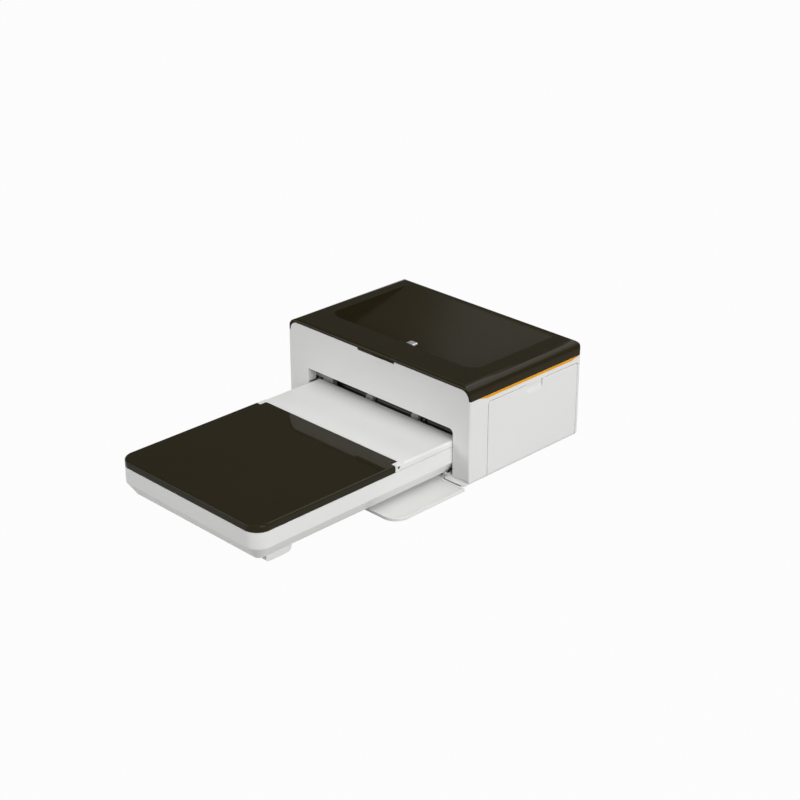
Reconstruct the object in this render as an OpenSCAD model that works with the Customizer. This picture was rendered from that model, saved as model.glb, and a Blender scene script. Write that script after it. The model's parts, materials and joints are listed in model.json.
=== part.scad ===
// Compact photo printer with a phone dock in its lid, a pull-out paper tray with a hinged cover,
// a ribbon door in its right side and a front flap that folds down on the table.
// Millimetres, +Z up. Inside the modules Y runs from the front face of the body to its rear;
// the whole printer is then shifted so that the origin is the bottom centre of its box.

/* [Body] */
// Height from the ribbon cartridge's top to the lid's top
lid_room = 15.9; // [15:0.1:20]
// Depth from the supply spool's axis to the rear face
rear_room = 16.3; // [16:0.1:22]
// Length of the ribbon motor, which sets the room left of the side plates
ribbon_motor_l = 11.95; // [10:0.05:16]
// Height of the rubber feet, so the gap under the body
foot_h = 2.5; // [2.4:0.1:3]
// Wall thickness of the housing
wall = 2.2; // [2:0.1:2.4]
// Radius of the long bottom edges
bottom_r = 3; // [2.6:0.1:3.2]
// Radius of the lower rear corner seen from the side
rear_low_r = 6.5; // [4:0.5:8]

/* [Lid] */
// Height of the lid's sides, from their lower edge to the top
lid_side_h = 8.8; // [8:0.1:9.9]
// Height of the lid's front edge
lid_front_h = 2.5; // [2:0.1:3.2]
// Radius that rolls the lid's top into its sides
lid_side_r = 8; // [6:0.5:9]
// Thickness of the lid's side skirt
lid_skirt_t = 1.4; // [1.2:0.1:1.8]
// Width of the finger lip at the middle of the lid's front edge
lip_w = 33; // [24:1:40]
// How far the finger lip hangs down
lip_drop = 1.3; // [0.8:0.1:2]

/* [Phone dock] */
// Distance from the lid's left side to the phone recess
recess_left = 15; // [13:0.1:20]
// Distance from the lid's right side to the phone recess
recess_right = 18.7; // [16:0.1:24]
// Front wall of the phone recess behind the front face
recess_y0 = 22.5; // [21:0.5:24]
// Distance from the rear end of the phone recess to the rear face
recess_rear = 8.3; // [7.3:0.5:12.3]
// Depth of the recess at its front wall
recess_depth = 10.8; // [8:0.2:11]
// Radius of the front corners of the recess
recess_r = 10; // [6:0.5:12]
// Width of the dock plug
plug_w = 6.8; // [5:0.1:9]
// Thickness of the dock plug
plug_t = 2.4; // [1.6:0.1:2.6]
// How far the dock plug stands out of its block
plug_out = 6.6; // [5:0.1:8]

/* [Front slot] */
// Gap between the tray and the slot's left edge
slot_left = 4.15; // [3.6:0.05:4.7]
// Gap between the tray and the slot's right edge
slot_right = 0.35; // [0.25:0.05:1]
// Height of the slot's top edge above the paper's path
slot_over = 3.35; // [2.5:0.05:4.5]

/* [Ribbon door] */
// Front seam of the ribbon door behind the front face
door_y0 = 16.6; // [15.6:0.1:18]
// Gap between the ribbon door's rear seam and the rear face
door_rear_gap = 4.6; // [4.4:0.1:5.4]
// Height of the wall left between the ribbon door and the lid
door_top_gap = 5.1; // [4.1:0.1:5.7]
// Width of the finger notch in the ribbon door
notch_w = 15.2; // [12:0.2:18]
// Depth of the finger notch in the ribbon door
notch_h = 6.2; // [4:0.2:8]
// Gap around doors, flaps and panels
seam = 0.3; // [0.25:0.05:0.4]

/* [Paper tray] */
// Room from the paper's edge to the tray's outside
tray_side = 13.45; // [12:0.05:16]
// How far the tray stands out of the front face
tray_reach = 160.6; // [155:0.2:166]
// How far the tray reaches behind the front face
tray_inner = 42; // [41:0.5:43]
// Height of the tray's underside above the table
tray_z0 = 5; // [4.9:0.1:5.2]
// Height at which the tray's lower chamfer ends
tray_chamfer_z = 14; // [12:0.5:15]
// How far the tray's lower chamfer leans in
tray_chamfer_in = 6.2; // [5:0.1:7]
// Radius of the tray's front corners
tray_r = 10; // [8:0.5:12]
// Wall thickness of the tray
tray_t = 2; // [1.8:0.1:2.2]
// Height of the white output plate's top
plate_z = 29; // [28:0.1:31]
// Height of the black tray cover above the output plate
cover_over = 0.5; // [0.4:0.1:0.8]
// Front edge of the output plate in front of the front face
plate_front = 44.5; // [42:0.5:47]

/* [Paper and ribbon] */
// Width of the print paper
paper_w = 101.6; // [88.9:0.1:127]
// Length of the print paper with its tear-off strips
paper_l = 178; // [160:1:180]
// Height of the paper stack
stack_h = 5; // [3:0.5:5.5]
// Outer radius of the ribbon cartridge's tubes
tube_r = 9.5; // [9:0.1:11]
// Wall thickness of the ribbon cartridge
tube_t = 1.2; // [1:0.1:1.4]

/* [Mechanism] */
// Radius of the rubber pick-up rollers
pickup_r = 6; // [5.6:0.1:6.2]
// Radius of the capstan roller
capstan_r = 4; // [3.8:0.1:4.2]
// Radius of the pinch roller
pinch_r = 2.4; // [2.2:0.1:2.5]
// Radius of the platen roller
platen_r = 6; // [5.6:0.1:6.4]
// Radius of the roller shafts where they turn in the side plates
shaft_r = 2; // [1.8:0.1:2.1]
// Thickness of the steel side plates
plate_t = 1; // [0.8:0.1:1.2]
// Module of the gears
gear_m = 0.8; // [0.78:0.01:0.82]
// Radial play of a shaft in its hole
play = 0.06; // [0.04:0.01:0.08]

/* [Hidden] */
$fn = 48;

eps = 0.01;

// Colours
c_white = [0.88, 0.88, 0.87];
c_black = [0.15, 0.14, 0.10];
c_yellow = [0.91, 0.63, 0.10];
c_grey = [0.62, 0.62, 0.61];
c_dark = [0.22, 0.22, 0.23];
c_steel = [0.70, 0.71, 0.72];
c_rubber = [0.30, 0.30, 0.30];
c_board = [0.10, 0.35, 0.20];
c_film = [0.42, 0.18, 0.20];
c_paper = [0.97, 0.97, 0.96];

// Heights from the table up: tray, output plate, paper path, ribbon cartridge, lid
floor_z = foot_h + wall - 0.2;
tray_floor_z = tray_z0 + tray_t;
tray_wall_z = plate_z - 4.3;
low_wall_z = tray_wall_z - 4.2;
cover_z = plate_z + cover_over;
path_z = plate_z + 4.5;
slot_top_z = path_z + slot_over;
tube_z = path_z + 0.5 + tube_r;
body_h = tube_z + tube_r + lid_room;
lid_split_z = body_h - lid_side_h;
fascia_top_z = body_h - lid_front_h;
door_top_z = lid_split_z - door_top_gap;

// Depths from the front face back: pick-up, capstan, take-up tube, print head, supply tube
pickup_y = 16;
capstan_y = pickup_y + 11.5;
takeup_y = capstan_y + 12.5;
head_l = 18;
head_y0 = takeup_y + tube_r + 7.5;
head_y1 = head_y0 + head_l;
platen_y = (head_y0 + head_y1) / 2;
supply_y = head_y1 + 5.5 + tube_r;
body_d = supply_y + rear_room;
front_y = (tray_reach - body_d) / 2;
panel_t = 2;
panel_y0 = body_d - panel_t;

// Widths from the paper out: tray, side plates, gears and motor on the left, base posts on the right
plate_gap = 1.4;
side_gap = 1.2;
gear_w = 2.6;
gear_gap = 1;
layer_gap = 0.4;
flange_in = 2 * bottom_r + 0.1;
base_post_r = 2.7;
base_post_in = 2 * bottom_r + 0.5 + base_post_r;
post_gap = 0.65;
tray_w = paper_w + 2 * tray_side;
side_left = wall + side_gap + ribbon_motor_l + gear_gap + gear_w + gear_gap + plate_t + plate_gap;
side_right = base_post_in + base_post_r + post_gap + plate_t + plate_gap;
body_w = side_left + tray_w + side_right;
half_w = body_w / 2;
tray_x0 = -half_w + side_left;
tray_x1 = tray_x0 + tray_w;
tray_x = tray_x0 + tray_w / 2;
left_plate_x1 = tray_x0 - plate_gap;
left_plate_x0 = left_plate_x1 - plate_t;
right_plate_x0 = tray_x1 + plate_gap;
right_plate_x1 = right_plate_x0 + plate_t;
slot_x0 = tray_x0 - slot_left;
slot_x1 = tray_x1 + slot_right;

// Corners of the body
plan_front_r = 1.2;
plan_rear_r = 4;
top_front_r = 2.2;
top_rear_r = 4;
fascia_corner_r = lid_side_r - 1.7;
tongue_h = 2.4;

// Ears beside the flap's tongue
ear_out = 3.1;
ear_top_z = foot_h + 2.7;
ear_root_z = foot_h + 1.4;
ear_lip_z = foot_h + 0.8;
ear_in = 4.4;
ear_back = 2.2;
ear_right_x = slot_x1 - ear_in;
ear_left_x = slot_x0 + ear_in;

// Front flap
flap_z0 = 0.3;
flap_top_z = 2.4;
flap_rim = 1.6;
flap_rim_h = 0.5;
flap_reach = 64;
flap_r = 10;
flap_axis_z = 3.7;
flap_axis_y = flap_axis_z - flap_top_z - 0.2;
flap_knuckle_r = 1.1;
flap_knuckle_l = 4;
flap_pin_r = 0.7;

// Ribbon door
door_axis_x = half_w - bottom_r;
door_axis_z = foot_h + bottom_r;
door_y1 = body_d - door_rear_gap;
door_pin_r = 1.2;
door_pin_l = 2;
door_rib_in = 14;
door_rib_t = 1.4;
jamb_l = 5;
jamb_top_z = door_axis_z + 5;
notch_y0 = door_y0 + 35.6;

// Accent strips
strip_t = 1;
strip_h = 1.8;
strip_y0 = 7.5;
strip_y1 = body_d - 2.7;
strip_lead = 8.4;

// Tray, output plate and cover
low_wall_y = 8;
skirt_gap = 0.2;
plate_inner = 6;
sheet_t = 2;
cover_t = 1.8;
cover_skirt_t = 1.6;
hinge_y = -plate_front - 2.1;
hinge_z = cover_z - 2.3;
hinge_roll_r = 2.95;
hinge_relief_r = 3.25;
ear_w = 4.2;
ear_l = 4.9;
hinge_pin_r = 0.9;
knuckle_w = 3.4;
edge_r = 1.4;
foot_side = 6.9;
foot_w = 5;
foot_from = 12.6;
foot_l = 20;
spigot_w = 1.6;
spigot_l = 6;

// Side plates and the bars between them
plate_y0 = 9;
plate_y1 = body_d - 4.3;
plate_top_z = tube_z + tube_r + 1;
waist_r = 4;
tie_r = 2;
tie_end_r = 1.2;
end_out = 0.8;

// Rollers
journal_r = 1.5;
roller_seat_r = shaft_r + 0.8;
capstan_z = path_z - capstan_r;
capstan_teeth = 16;
pickup_teeth = 15;
mesh_cp = gear_m * (capstan_teeth + pickup_teeth) / 2;
pickup_z = capstan_z - sqrt(pow(mesh_cp, 2) - pow(capstan_y - pickup_y, 2));
pickup_tyre_w = 6;
pickup_tyre_x = 20.8;
collar_x = pickup_tyre_x + 6.4;
tread_w = 0.4;
tread_h = 0.3;
nip = 0.2;
pinch_z = path_z + nip + pinch_r;
platen_z = path_z - nip - platen_r;
tie_bars = [[pickup_y - 3, tube_z + 1.5], [platen_y + 18, path_z - 2.5]];

// Paper, lift plate and the guide beside them
stack_y1 = tray_inner - tray_t - 1.6;
stack_y0 = stack_y1 - paper_l;
stack_top_z = pickup_z - pickup_r - seam;
stack_z0 = stack_top_z - stack_h;
rear_wall_z = stack_top_z - 0.95;
lift_t = 1;
lift_y0 = -20;
lift_lap = 8;
spring_y = 26;
spring_r = 6.4;
spring_wire = 0.9;
pocket_h = 0.6;
rail_gap = 0.2;
rib_t = 1.4;
rib_pitch = 14;
guide_x1 = tray_x - paper_w / 2 - rib_t - 0.3;
guide_y0 = 7.6;
guide_t = 4;
guide_top_z = path_z + 2.5;

// Gear layers on the left side
gear_slack = 0.07;
layer_a1 = left_plate_x0 - gear_gap;
layer_a0 = layer_a1 - gear_w;
layer_b1 = layer_a0 - layer_gap;
layer_b0 = layer_b1 - gear_w - 0.2;
big_teeth = 24;
pinion_teeth = 12;
motor_r = 9;
motor_l = 24;
motor_boss_r = 3;
motor_shaft_r = 1;
motor_z = floor_z + 2 + motor_r;
reach_c = gear_m * big_teeth;
reach_m = gear_m * (big_teeth + pinion_teeth) / 2;
train_bend = 1.85;
motor_d = reach_c + reach_m - train_bend;
motor_y = capstan_y + sqrt(pow(motor_d, 2) - pow(capstan_z - motor_z, 2));
idler_a = (pow(reach_c, 2) - pow(reach_m, 2) + pow(motor_d, 2)) / (2 * motor_d);
idler_h = sqrt(pow(reach_c, 2) - pow(idler_a, 2));
dir_y = (motor_y - capstan_y) / motor_d;
dir_z = (motor_z - capstan_z) / motor_d;
idler_y = capstan_y + idler_a * dir_y - idler_h * dir_z;
idler_z = capstan_z + idler_a * dir_z + idler_h * dir_y;

// Ribbon cartridge
spool_r = 4;
roll_r = 6.6;
case_x0 = left_plate_x1 + 3;
case_x1 = right_plate_x0 + 6;
case_bar_w = 3.4;
case_bar_h = 3;
tab_t = 1.6;
tab_in = tube_r + 4.5;
tab_top_z = tube_z + 6;
film_exit_l = 11;
film_w = paper_w + 4.4;
film_low = 0.25;
film_t = 0.14;
takeup_teeth = 24;
ribbon_motor_y = takeup_y + gear_m * (takeup_teeth + pinion_teeth) / 2;
ribbon_motor_x1 = layer_a0 - gear_gap;
ribbon_motor_x0 = ribbon_motor_x1 - ribbon_motor_l;
ribbon_motor_r = 7;
standoff = 9.4;
standoff_r = 1.4;
flange_t = 1;
flange_r = 2.6;
flange_turn = 20;
standoff_dy = -standoff * sin(flange_turn);
standoff_dz = standoff * cos(flange_turn);

// Print head
head_z0 = path_z + 2;
head_z1 = head_z0 + 13.5;
head_pivot_y = head_y1 + 2.6;
head_pivot_z = head_z1 - 2;
head_pin_r = 1.2;
head_w = paper_w + 6.4;
bracket_t = 1.2;
bracket_in = 1;
bracket_h = 5;
bracket_y0 = head_y0 + 6;
fin_n = 5;
fin_gap = 1.6;
fin_pitch = 3.1;
strip_w = 6;
// Length of a bracket arm from x to the head's side, or to the right plate
function arm_gap(x) = x < 0 ? tray_x - head_w / 2 - x + eps : right_plate_x0 - bracket_in - x;

// Phase that puts a gap of a gear with n teeth at angle a, facing a driver with nd teeth at phase pd
function meshed(n, a, nd, pd) = a + 180 + 180 / n - (pd - a) * nd / n;

pickup_angle = atan2(pickup_z - capstan_z, pickup_y - capstan_y);
pickup_phase = meshed(pickup_teeth, pickup_angle, capstan_teeth, 0);
idler_angle = atan2(idler_z - capstan_z, idler_y - capstan_y);
idler_phase = meshed(big_teeth, idler_angle, big_teeth, 0);
motor_angle = atan2(motor_z - idler_z, motor_y - idler_y);
motor_phase = meshed(pinion_teeth, motor_angle, big_teeth, idler_phase);
ribbon_phase = meshed(pinion_teeth, 0, takeup_teeth, 0);

// Rear fittings
port_z = 18;
port_gap = 0.2;
port_depth = 11;
port_y0 = panel_y0 - port_depth;
jack_r = 5.2;
jack_bore_r = 3.2;
jack_half = 6;
jack_x = left_plate_x1 + jack_half + 2.45;
usb_w = 13.2;
usb_h = 5.8;
usb_skin = 0.4;
usb_x = jack_x + 19.5;
button_r = 4.2;
button_flange = 1.2;
button_gap = 0.25;
button_x = right_plate_x0 - 11.35;
exit_w = paper_w + 6.4;
exit_under = 2.2;
exit_over = 2.8;
panel_lip_t = 1.5;
panel_lip_z0 = floor_z + 7.5;
panel_lip_z1 = lid_split_z - 10.1;

// Lid, base posts, screws and vents
lid_t = 2;
lid_post_in = 6.5;
lid_post_r = 3.4;
lid_post_ys = [12, body_d - 10];
base_post_z = 12;
screw_r = 1.1;
screw_head_r = 2.2;
screw_head_h = 1.2;
cross_l = 2.8;
cross_w = 0.6;
vent_n = 8;
vent_w = 1.6;
vent_pitch = 4;
vent_x0 = -14;
base_posts = [for (side = [-1, 1]) for (y = [8, body_d - 12]) [side * (half_w - base_post_in), y]];
lid_posts = [for (side = [-1, 1]) for (y = lid_post_ys) [side * (half_w - lid_post_in), y]];
foot_r = 5;
foot_in = 20;
foot_y0 = 16;

// Phone recess, dock block and plug
recess_x0 = -half_w + recess_left;
recess_x1 = half_w - recess_right;
recess_y1 = body_d - recess_rear;
recess_low_z = body_h - recess_depth - 2 * lid_t;
// Height of the recess floor at a depth from the front face, and its tilt
function floor_at(y) = body_h - recess_depth * (recess_y1 - y) / (recess_y1 - recess_y0);
recess_tilt = atan(recess_depth / (recess_y1 - recess_y0));
dock_x = (recess_x0 + recess_x1) / 2;
dock_w = 14;
dock_out = 8;
dock_t = 5;
dock_z0 = floor_at(recess_y0 + dock_out) + 0.9;
dock_z1 = dock_z0 + dock_t;

// Main board
board_z = floor_z + 3.5;
board_t = 1.6;
board_top = board_z + board_t;
board_y0 = panel_y0 - 36.3;
board_y1 = panel_y0 - 2.5;
board_x0 = left_plate_x1 + 2;
board_x1 = right_plate_x0 - 3;
board_screw_in = 4;
board_screw_r = 1.6;
board_screws = [for (x = [board_x0 + board_screw_in, board_x1 - board_screw_in])
                for (y = [board_y0 + 3, panel_y0 - 14]) [x, y]];
chip_x = board_x1 - 46.35;
chip_y = board_y0 + 8;
chip_w = 14;
connector_w = 16;
can_r = 4;
can_h = 9;

// Shifts a module's own frame to the frame of the whole printer
module placed() {
    translate([0, front_y, 0]) children();
}

// A rectangle from (x0, y0) to (x1, y1) with one radius per corner, counted from the lower left
module soft_rect(x0, y0, x1, y1, r00, r10, r11, r01) {
    difference() {
        translate([x0, y0]) square([x1 - x0, y1 - y0]);
        corner_cut(x0, y0, 1, 1, r00);
        corner_cut(x1, y0, -1, 1, r10);
        corner_cut(x1, y1, -1, -1, r11);
        corner_cut(x0, y1, 1, -1, r01);
    }
}

module corner_cut(x, y, sx, sy, r) {
    if (r > 0) {
        translate([x, y]) scale_sign(sx, sy) difference() {
            translate([-1, -1]) square([r + 1, r + 1]);
            translate([r, r]) circle(r);
        }
    }
}

module scale_sign(sx, sy) {
    mirror([sx < 0 ? 1 : 0, 0]) mirror([0, sy < 0 ? 1 : 0]) children();
}

// Extrusions of a flat outline along X, Y or Z between two places
module along_x(x0, x1) {
    translate([x0, 0, 0]) rotate([90, 0, 90]) linear_extrude(x1 - x0) children();
}

module along_y(y0, y1) {
    translate([0, y1, 0]) rotate([90, 0, 0]) linear_extrude(y1 - y0) children();
}

module along_z(z0, z1) {
    translate([0, 0, z0]) linear_extrude(z1 - z0) children();
}

module block(x0, y0, z0, x1, y1, z1) {
    translate([x0, y0, z0]) cube([x1 - x0, y1 - y0, z1 - z0]);
}

module rod_x(x0, x1, y, z, r) {
    translate([x0, y, z]) rotate([0, 90, 0]) cylinder(h = x1 - x0, r = r);
}

module rod_y(y0, y1, x, z, r) {
    translate([x, y1, z]) rotate([90, 0, 0]) cylinder(h = y1 - y0, r = r);
}

module rod_z(z0, z1, x, y, r) {
    translate([x, y, z0]) cylinder(h = z1 - z0, r = r);
}

// Outer form of the closed body, from the feet's top to the lid's top
module envelope() {
    intersection() {
        along_y(0, body_d)
            soft_rect(-half_w, foot_h, half_w, body_h, bottom_r, bottom_r, lid_side_r, lid_side_r);
        along_x(-half_w, half_w)
            soft_rect(0, foot_h, body_d, body_h, bottom_r, rear_low_r, top_rear_r, top_front_r);
        along_z(0, body_h)
            soft_rect(-half_w, 0, half_w, body_d, plan_front_r, plan_front_r, plan_rear_r, plan_rear_r);
    }
}

// Outline of the white front below the lid
module fascia_outline(gap) {
    x = half_w - lid_skirt_t - gap;
    soft_rect(-x, foot_h, x, fascia_top_z - gap, 0, 0, fascia_corner_r, fascia_corner_r);
}

// Housing: the white front, both side walls and the feet of the front posts, in one moulding
module housing() {
    color(c_white) placed() difference() {
        union() {
            housing_shell();
            ear(ear_right_x, half_w);
            ear(-half_w, ear_left_x);
            door_jambs();
        }
        // Opening for the tray, from the slot's top edge down to the base
        along_y(-ear_out - 1, wall + 4)
            soft_rect(slot_x0, ear_top_z, slot_x1, slot_top_z, 0, 0, 3, 0);
        block(ear_left_x, -ear_out - 1, 0, ear_right_x, wall + 4, ear_top_z + eps);
        // Notch for the lid's finger lip
        block(-lip_w / 2 - 0.2, -1, fascia_top_z - lip_drop - 0.2, lip_w / 2 + 0.2, wall + 1, body_h);
        ribbon_door_opening();
        accent_pocket();
        mirror([1, 0, 0]) accent_pocket();
        // Holes for the door's pins and the flap's pins
        rod_y(door_y0 - seam - door_pin_l - 0.4, door_y0, door_axis_x, door_axis_z, door_pin_r + play);
        rod_y(door_y1, door_y1 + seam + door_pin_l + 0.1, door_axis_x, door_axis_z, door_pin_r + play);
        rod_x(ear_right_x - 1, ear_right_x + 5, flap_axis_y, flap_axis_z, flap_pin_r);
        rod_x(ear_left_x - 5, ear_left_x + 1, flap_axis_y, flap_axis_z, flap_pin_r);
    }
}

// Front wall, side walls and bottom flanges, hollow inside and open at the rear
module housing_shell() {
    difference() {
        intersection() {
            envelope();
            union() {
                block(-half_w, 0, 0, half_w, panel_y0 - 0.1, lid_split_z - 0.1);
                along_y(0, wall) fascia_outline(0.1);
                intersection() {
                    along_y(0, panel_y0 - 2.4) fascia_outline(0.1);
                    block(-half_w, 0, 0, half_w, body_d, lid_split_z + tongue_h);
                }
            }
        }
        block(-half_w + wall, wall, floor_z, half_w - wall, body_d, lid_split_z + 0.2);
        block(-half_w + wall + 0.4, wall, lid_split_z - 1, half_w - wall - 0.4, body_d, body_h);
        block(-half_w + flange_in, wall + 2.3, -1, half_w - flange_in, body_d, floor_z + 1);
    }
}

// Low foot of a front post: a thin sloping lip before the front face, a hinge block behind it
module ear(x0, x1) {
    y1 = wall + ear_back;
    intersection() {
        along_x(x0, x1)
            polygon([[-ear_out, foot_h], [y1, foot_h], [y1, ear_top_z],
                     [0, ear_top_z], [0, ear_root_z], [-ear_out, ear_lip_z]]);
        along_y(-ear_out - 1, y1 + 1) soft_rect(-half_w, foot_h, half_w, body_h, bottom_r, bottom_r, 1, 1);
        along_z(0, body_h) soft_rect(x0, -ear_out, x1, y1, 1.8, 1.8, 0, 0);
    }
}

// Blocks that carry the ribbon door's pins
module door_jambs() {
    intersection() {
        envelope();
        union() {
            block(half_w - flange_in, door_y0 - jamb_l, foot_h, half_w, door_y0 - seam, jamb_top_z);
            block(half_w - flange_in, door_y1 + seam, foot_h, half_w, panel_y0 - 0.1, jamb_top_z);
        }
    }
}

// Hole that the ribbon door closes, cleared round its hinge axis
module ribbon_door_opening() {
    block(half_w - flange_in - 1, door_y0 - seam, -1, half_w + 1, door_y1 + seam, door_axis_z);
    along_x(half_w - wall - 2, half_w + 1)
        soft_rect(door_y0 - seam, door_axis_z - 1, door_y1 + seam, door_top_z + seam, 0, 0, 2, 2);
}

module accent_pocket() {
    along_x(half_w - strip_t, half_w + 1) accent_outline();
}

module accent_outline() {
    polygon([[strip_y0, lid_split_z], [strip_y0 + strip_lead, lid_split_z - strip_h],
             [strip_y1 - strip_lead, lid_split_z - strip_h], [strip_y1, lid_split_z]]);
}

module accent_strip() {
    color(c_yellow) placed() along_x(half_w - strip_t, half_w) accent_outline();
}

module accent_strip_right() {
    accent_strip();
}

module accent_strip_left() {
    mirror([1, 0, 0]) accent_strip();
}

// Base plate: the floor of the body, ribbed, with openings for air
module base_plate() {
    x = half_w - flange_in - 0.2;
    color(c_white) placed() difference() {
        union() {
            along_z(foot_h, floor_z)
                soft_rect(-x, wall + 2.5, x, panel_y0 - 0.2, 1, 1, 2, 2);
            block(ear_left_x + 3, wall + 0.3, foot_h, ear_right_x - 3, wall + 3, floor_z);
            for (post = base_posts)
                rod_z(floor_z - eps, base_post_z, post[0], post[1], base_post_r);
        }
        for (post = base_posts)
            rod_z(foot_h - 1, base_post_z + 1, post[0], post[1], screw_r);
        for (post = base_posts)
            rod_z(foot_h - 1, foot_h + screw_head_h, post[0], post[1], screw_head_r);
        // Air slots under the main board
        for (i = [0 : vent_n - 1])
            along_z(0, floor_z + 1) translate([vent_x0 + i * vent_pitch, body_d - 26.3])
                slot_outline(vent_w, 16);
    }
}

module slot_outline(w, l) {
    translate([-w / 2, -l / 2]) square([w, l]);
    translate([0, l / 2]) circle(w / 2);
    translate([0, -l / 2]) circle(w / 2);
}

// Rear panel with the paper slot, the inlet, the port, the button and air slots
module rear_panel() {
    color(c_white) placed() difference() {
        union() {
            intersection() {
                envelope();
                block(-half_w, panel_y0, 0, half_w, body_d, lid_split_z - 0.1);
            }
            // Lips that locate the panel inside the side walls
            for (x = [-half_w + wall + seam, half_w - wall - seam - panel_lip_t])
                block(x, panel_y0 - 3, panel_lip_z0, x + panel_lip_t, panel_y0 + eps, panel_lip_z1);
        }
        // Slot where the print passes out and back while it is printed
        along_y(panel_y0 - 5, body_d + 1)
            soft_rect(tray_x - exit_w / 2, path_z - exit_under, tray_x + exit_w / 2, path_z + exit_over,
                      2, 2, 2, 2);
        rod_y(panel_y0 - 1, body_d + 1, jack_x, port_z, jack_r + port_gap);
        along_y(panel_y0 - 1, body_d + 1)
            soft_rect(usb_x - usb_w / 2 - port_gap, port_z - usb_h / 2 - port_gap,
                      usb_x + usb_w / 2 + port_gap, port_z + usb_h / 2 + port_gap, 0.6, 0.6, 0.6, 0.6);
        rod_y(panel_y0 - 1, body_d + 1, button_x, port_z, button_r + button_gap);
        for (i = [0 : vent_n - 1])
            along_y(panel_y0 - 1, body_d + 1)
                translate([vent_x0 + i * vent_pitch, tube_z + 6.5]) slot_outline(vent_w, 6);
    }
}

module recess_outline(grow) {
    soft_rect(recess_x0 - grow, recess_y0 - grow, recess_x1 + grow, recess_y1 + grow,
              recess_r + grow, recess_r + grow, 1 + grow, 1 + grow);
}

// Everything above the recess floor, lowered by drop
module above_floor(drop) {
    translate([0, recess_y1, body_h - drop]) rotate([recess_tilt, 0, 0])
        translate([-body_w, -2 * body_d, 0]) cube([2 * body_w, 3 * body_d, body_h]);
}

// Lid: the glossy cap of the body with the tilted recess that holds a phone
module top_lid() {
    color(c_black) placed() difference() {
        union() {
            difference() {
                intersection() {
                    envelope();
                    union() {
                        block(-half_w, 0, lid_split_z, half_w, body_d, body_h);
                        block(-lip_w / 2, 0, fascia_top_z - lip_drop, lip_w / 2, wall, body_h);
                    }
                }
                difference() {
                    along_y(-1, body_d - 2.2) fascia_outline(0);
                    block(-lip_w / 2, -2, fascia_top_z - lip_drop, lip_w / 2, wall, body_h);
                }
            }
            // Tray of the recess, hanging under the lid's top
            intersection() {
                along_z(recess_low_z, body_h - 1) recess_outline(lid_t);
                above_floor(lid_t);
            }
            for (post = lid_posts)
                rod_z(lid_split_z - 6, fascia_top_z + 0.5, post[0], post[1], lid_post_r);
        }
        intersection() {
            along_z(recess_low_z, body_h + 1) recess_outline(0);
            above_floor(0);
        }
        // Window for the dock plug's block
        block(dock_x - dock_w / 2, recess_y0 - 5, dock_z0, dock_x + dock_w / 2, recess_y0 + 1, dock_z1);
        for (post = lid_posts)
            rod_z(lid_split_z - 7, fascia_top_z - 3, post[0], post[1], screw_r);
    }
}

// Dock block in the recess's front wall
module dock_block() {
    color(c_dark) placed() difference() {
        union() {
            along_z(dock_z0 + 0.1, dock_z1 - 0.1)
                soft_rect(dock_x - dock_w / 2 + 0.1, recess_y0 - 2.4, dock_x + dock_w / 2 - 0.1,
                          recess_y0 + dock_out, 0, 0, 2, 2);
            block(dock_x - dock_w / 2 - 2, recess_y0 - 4.2, dock_z0 - 1.2,
                  dock_x + dock_w / 2 + 2, recess_y0 - 2.3, dock_z1 + 1.2);
        }
        along_y(recess_y0 + 1, recess_y0 + dock_out + 1) plug_outline(0);
    }
}

module plug_outline(inset) {
    z = (dock_z0 + dock_z1) / 2;
    r = plug_t / 2 - inset - 0.1;
    soft_rect(dock_x - plug_w / 2 + inset, z - plug_t / 2 + inset,
              dock_x + plug_w / 2 - inset, z + plug_t / 2 - inset, r, r, r, r);
}

module dock_plug() {
    tip = recess_y0 + dock_out + plug_out;
    color(c_steel) placed() difference() {
        along_y(recess_y0 + 1, tip) plug_outline(0);
        difference() {
            along_y(tip - 5, tip + 1) plug_outline(0.35);
            block(dock_x - plug_w / 2 + 1.1, tip - 6, (dock_z0 + dock_z1) / 2 - 0.35,
                  dock_x + plug_w / 2 - 1.1, tip - 0.6, (dock_z0 + dock_z1) / 2 + 0.35);
        }
    }
}

// Door over the ribbon cartridge, hinged along its lower edge
module ribbon_door() {
    x1 = half_w;
    color(c_white) placed() difference() {
        union() {
            intersection() {
                envelope();
                along_x(x1 - wall, x1)
                    soft_rect(door_y0, door_axis_z, door_y1, door_top_z, 0, 0, 1.8, 1.8);
            }
            intersection() {
                envelope();
                along_y(door_y0, door_y1) translate([door_axis_x, door_axis_z]) {
                    circle(bottom_r);
                    translate([bottom_r - wall, 0]) square([wall, 4]);
                }
            }
            rod_y(door_y0 - seam - door_pin_l, door_y1 + seam + door_pin_l - 0.1,
                  door_axis_x, door_axis_z, door_pin_r);
            // Stiffening ribs and the catch behind the finger notch
            for (y = [door_y0 + door_rib_in, door_y1 - door_rib_in])
                block(x1 - wall - 1.2, y, jamb_top_z + 1.5, x1 - wall + eps, y + door_rib_t, door_top_z - 6);
            block(x1 - wall - 1.6, notch_y0 - 2, door_top_z - notch_h - 3,
                  x1 - wall + eps, notch_y0 + notch_w + 2, door_top_z - 0.6);
        }
        along_x(x1 - 1.6, x1 + 1)
            soft_rect(notch_y0, door_top_z - notch_h, notch_y0 + notch_w, door_top_z + 2, 0.4, 2, 0, 0);
    }
}

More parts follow.
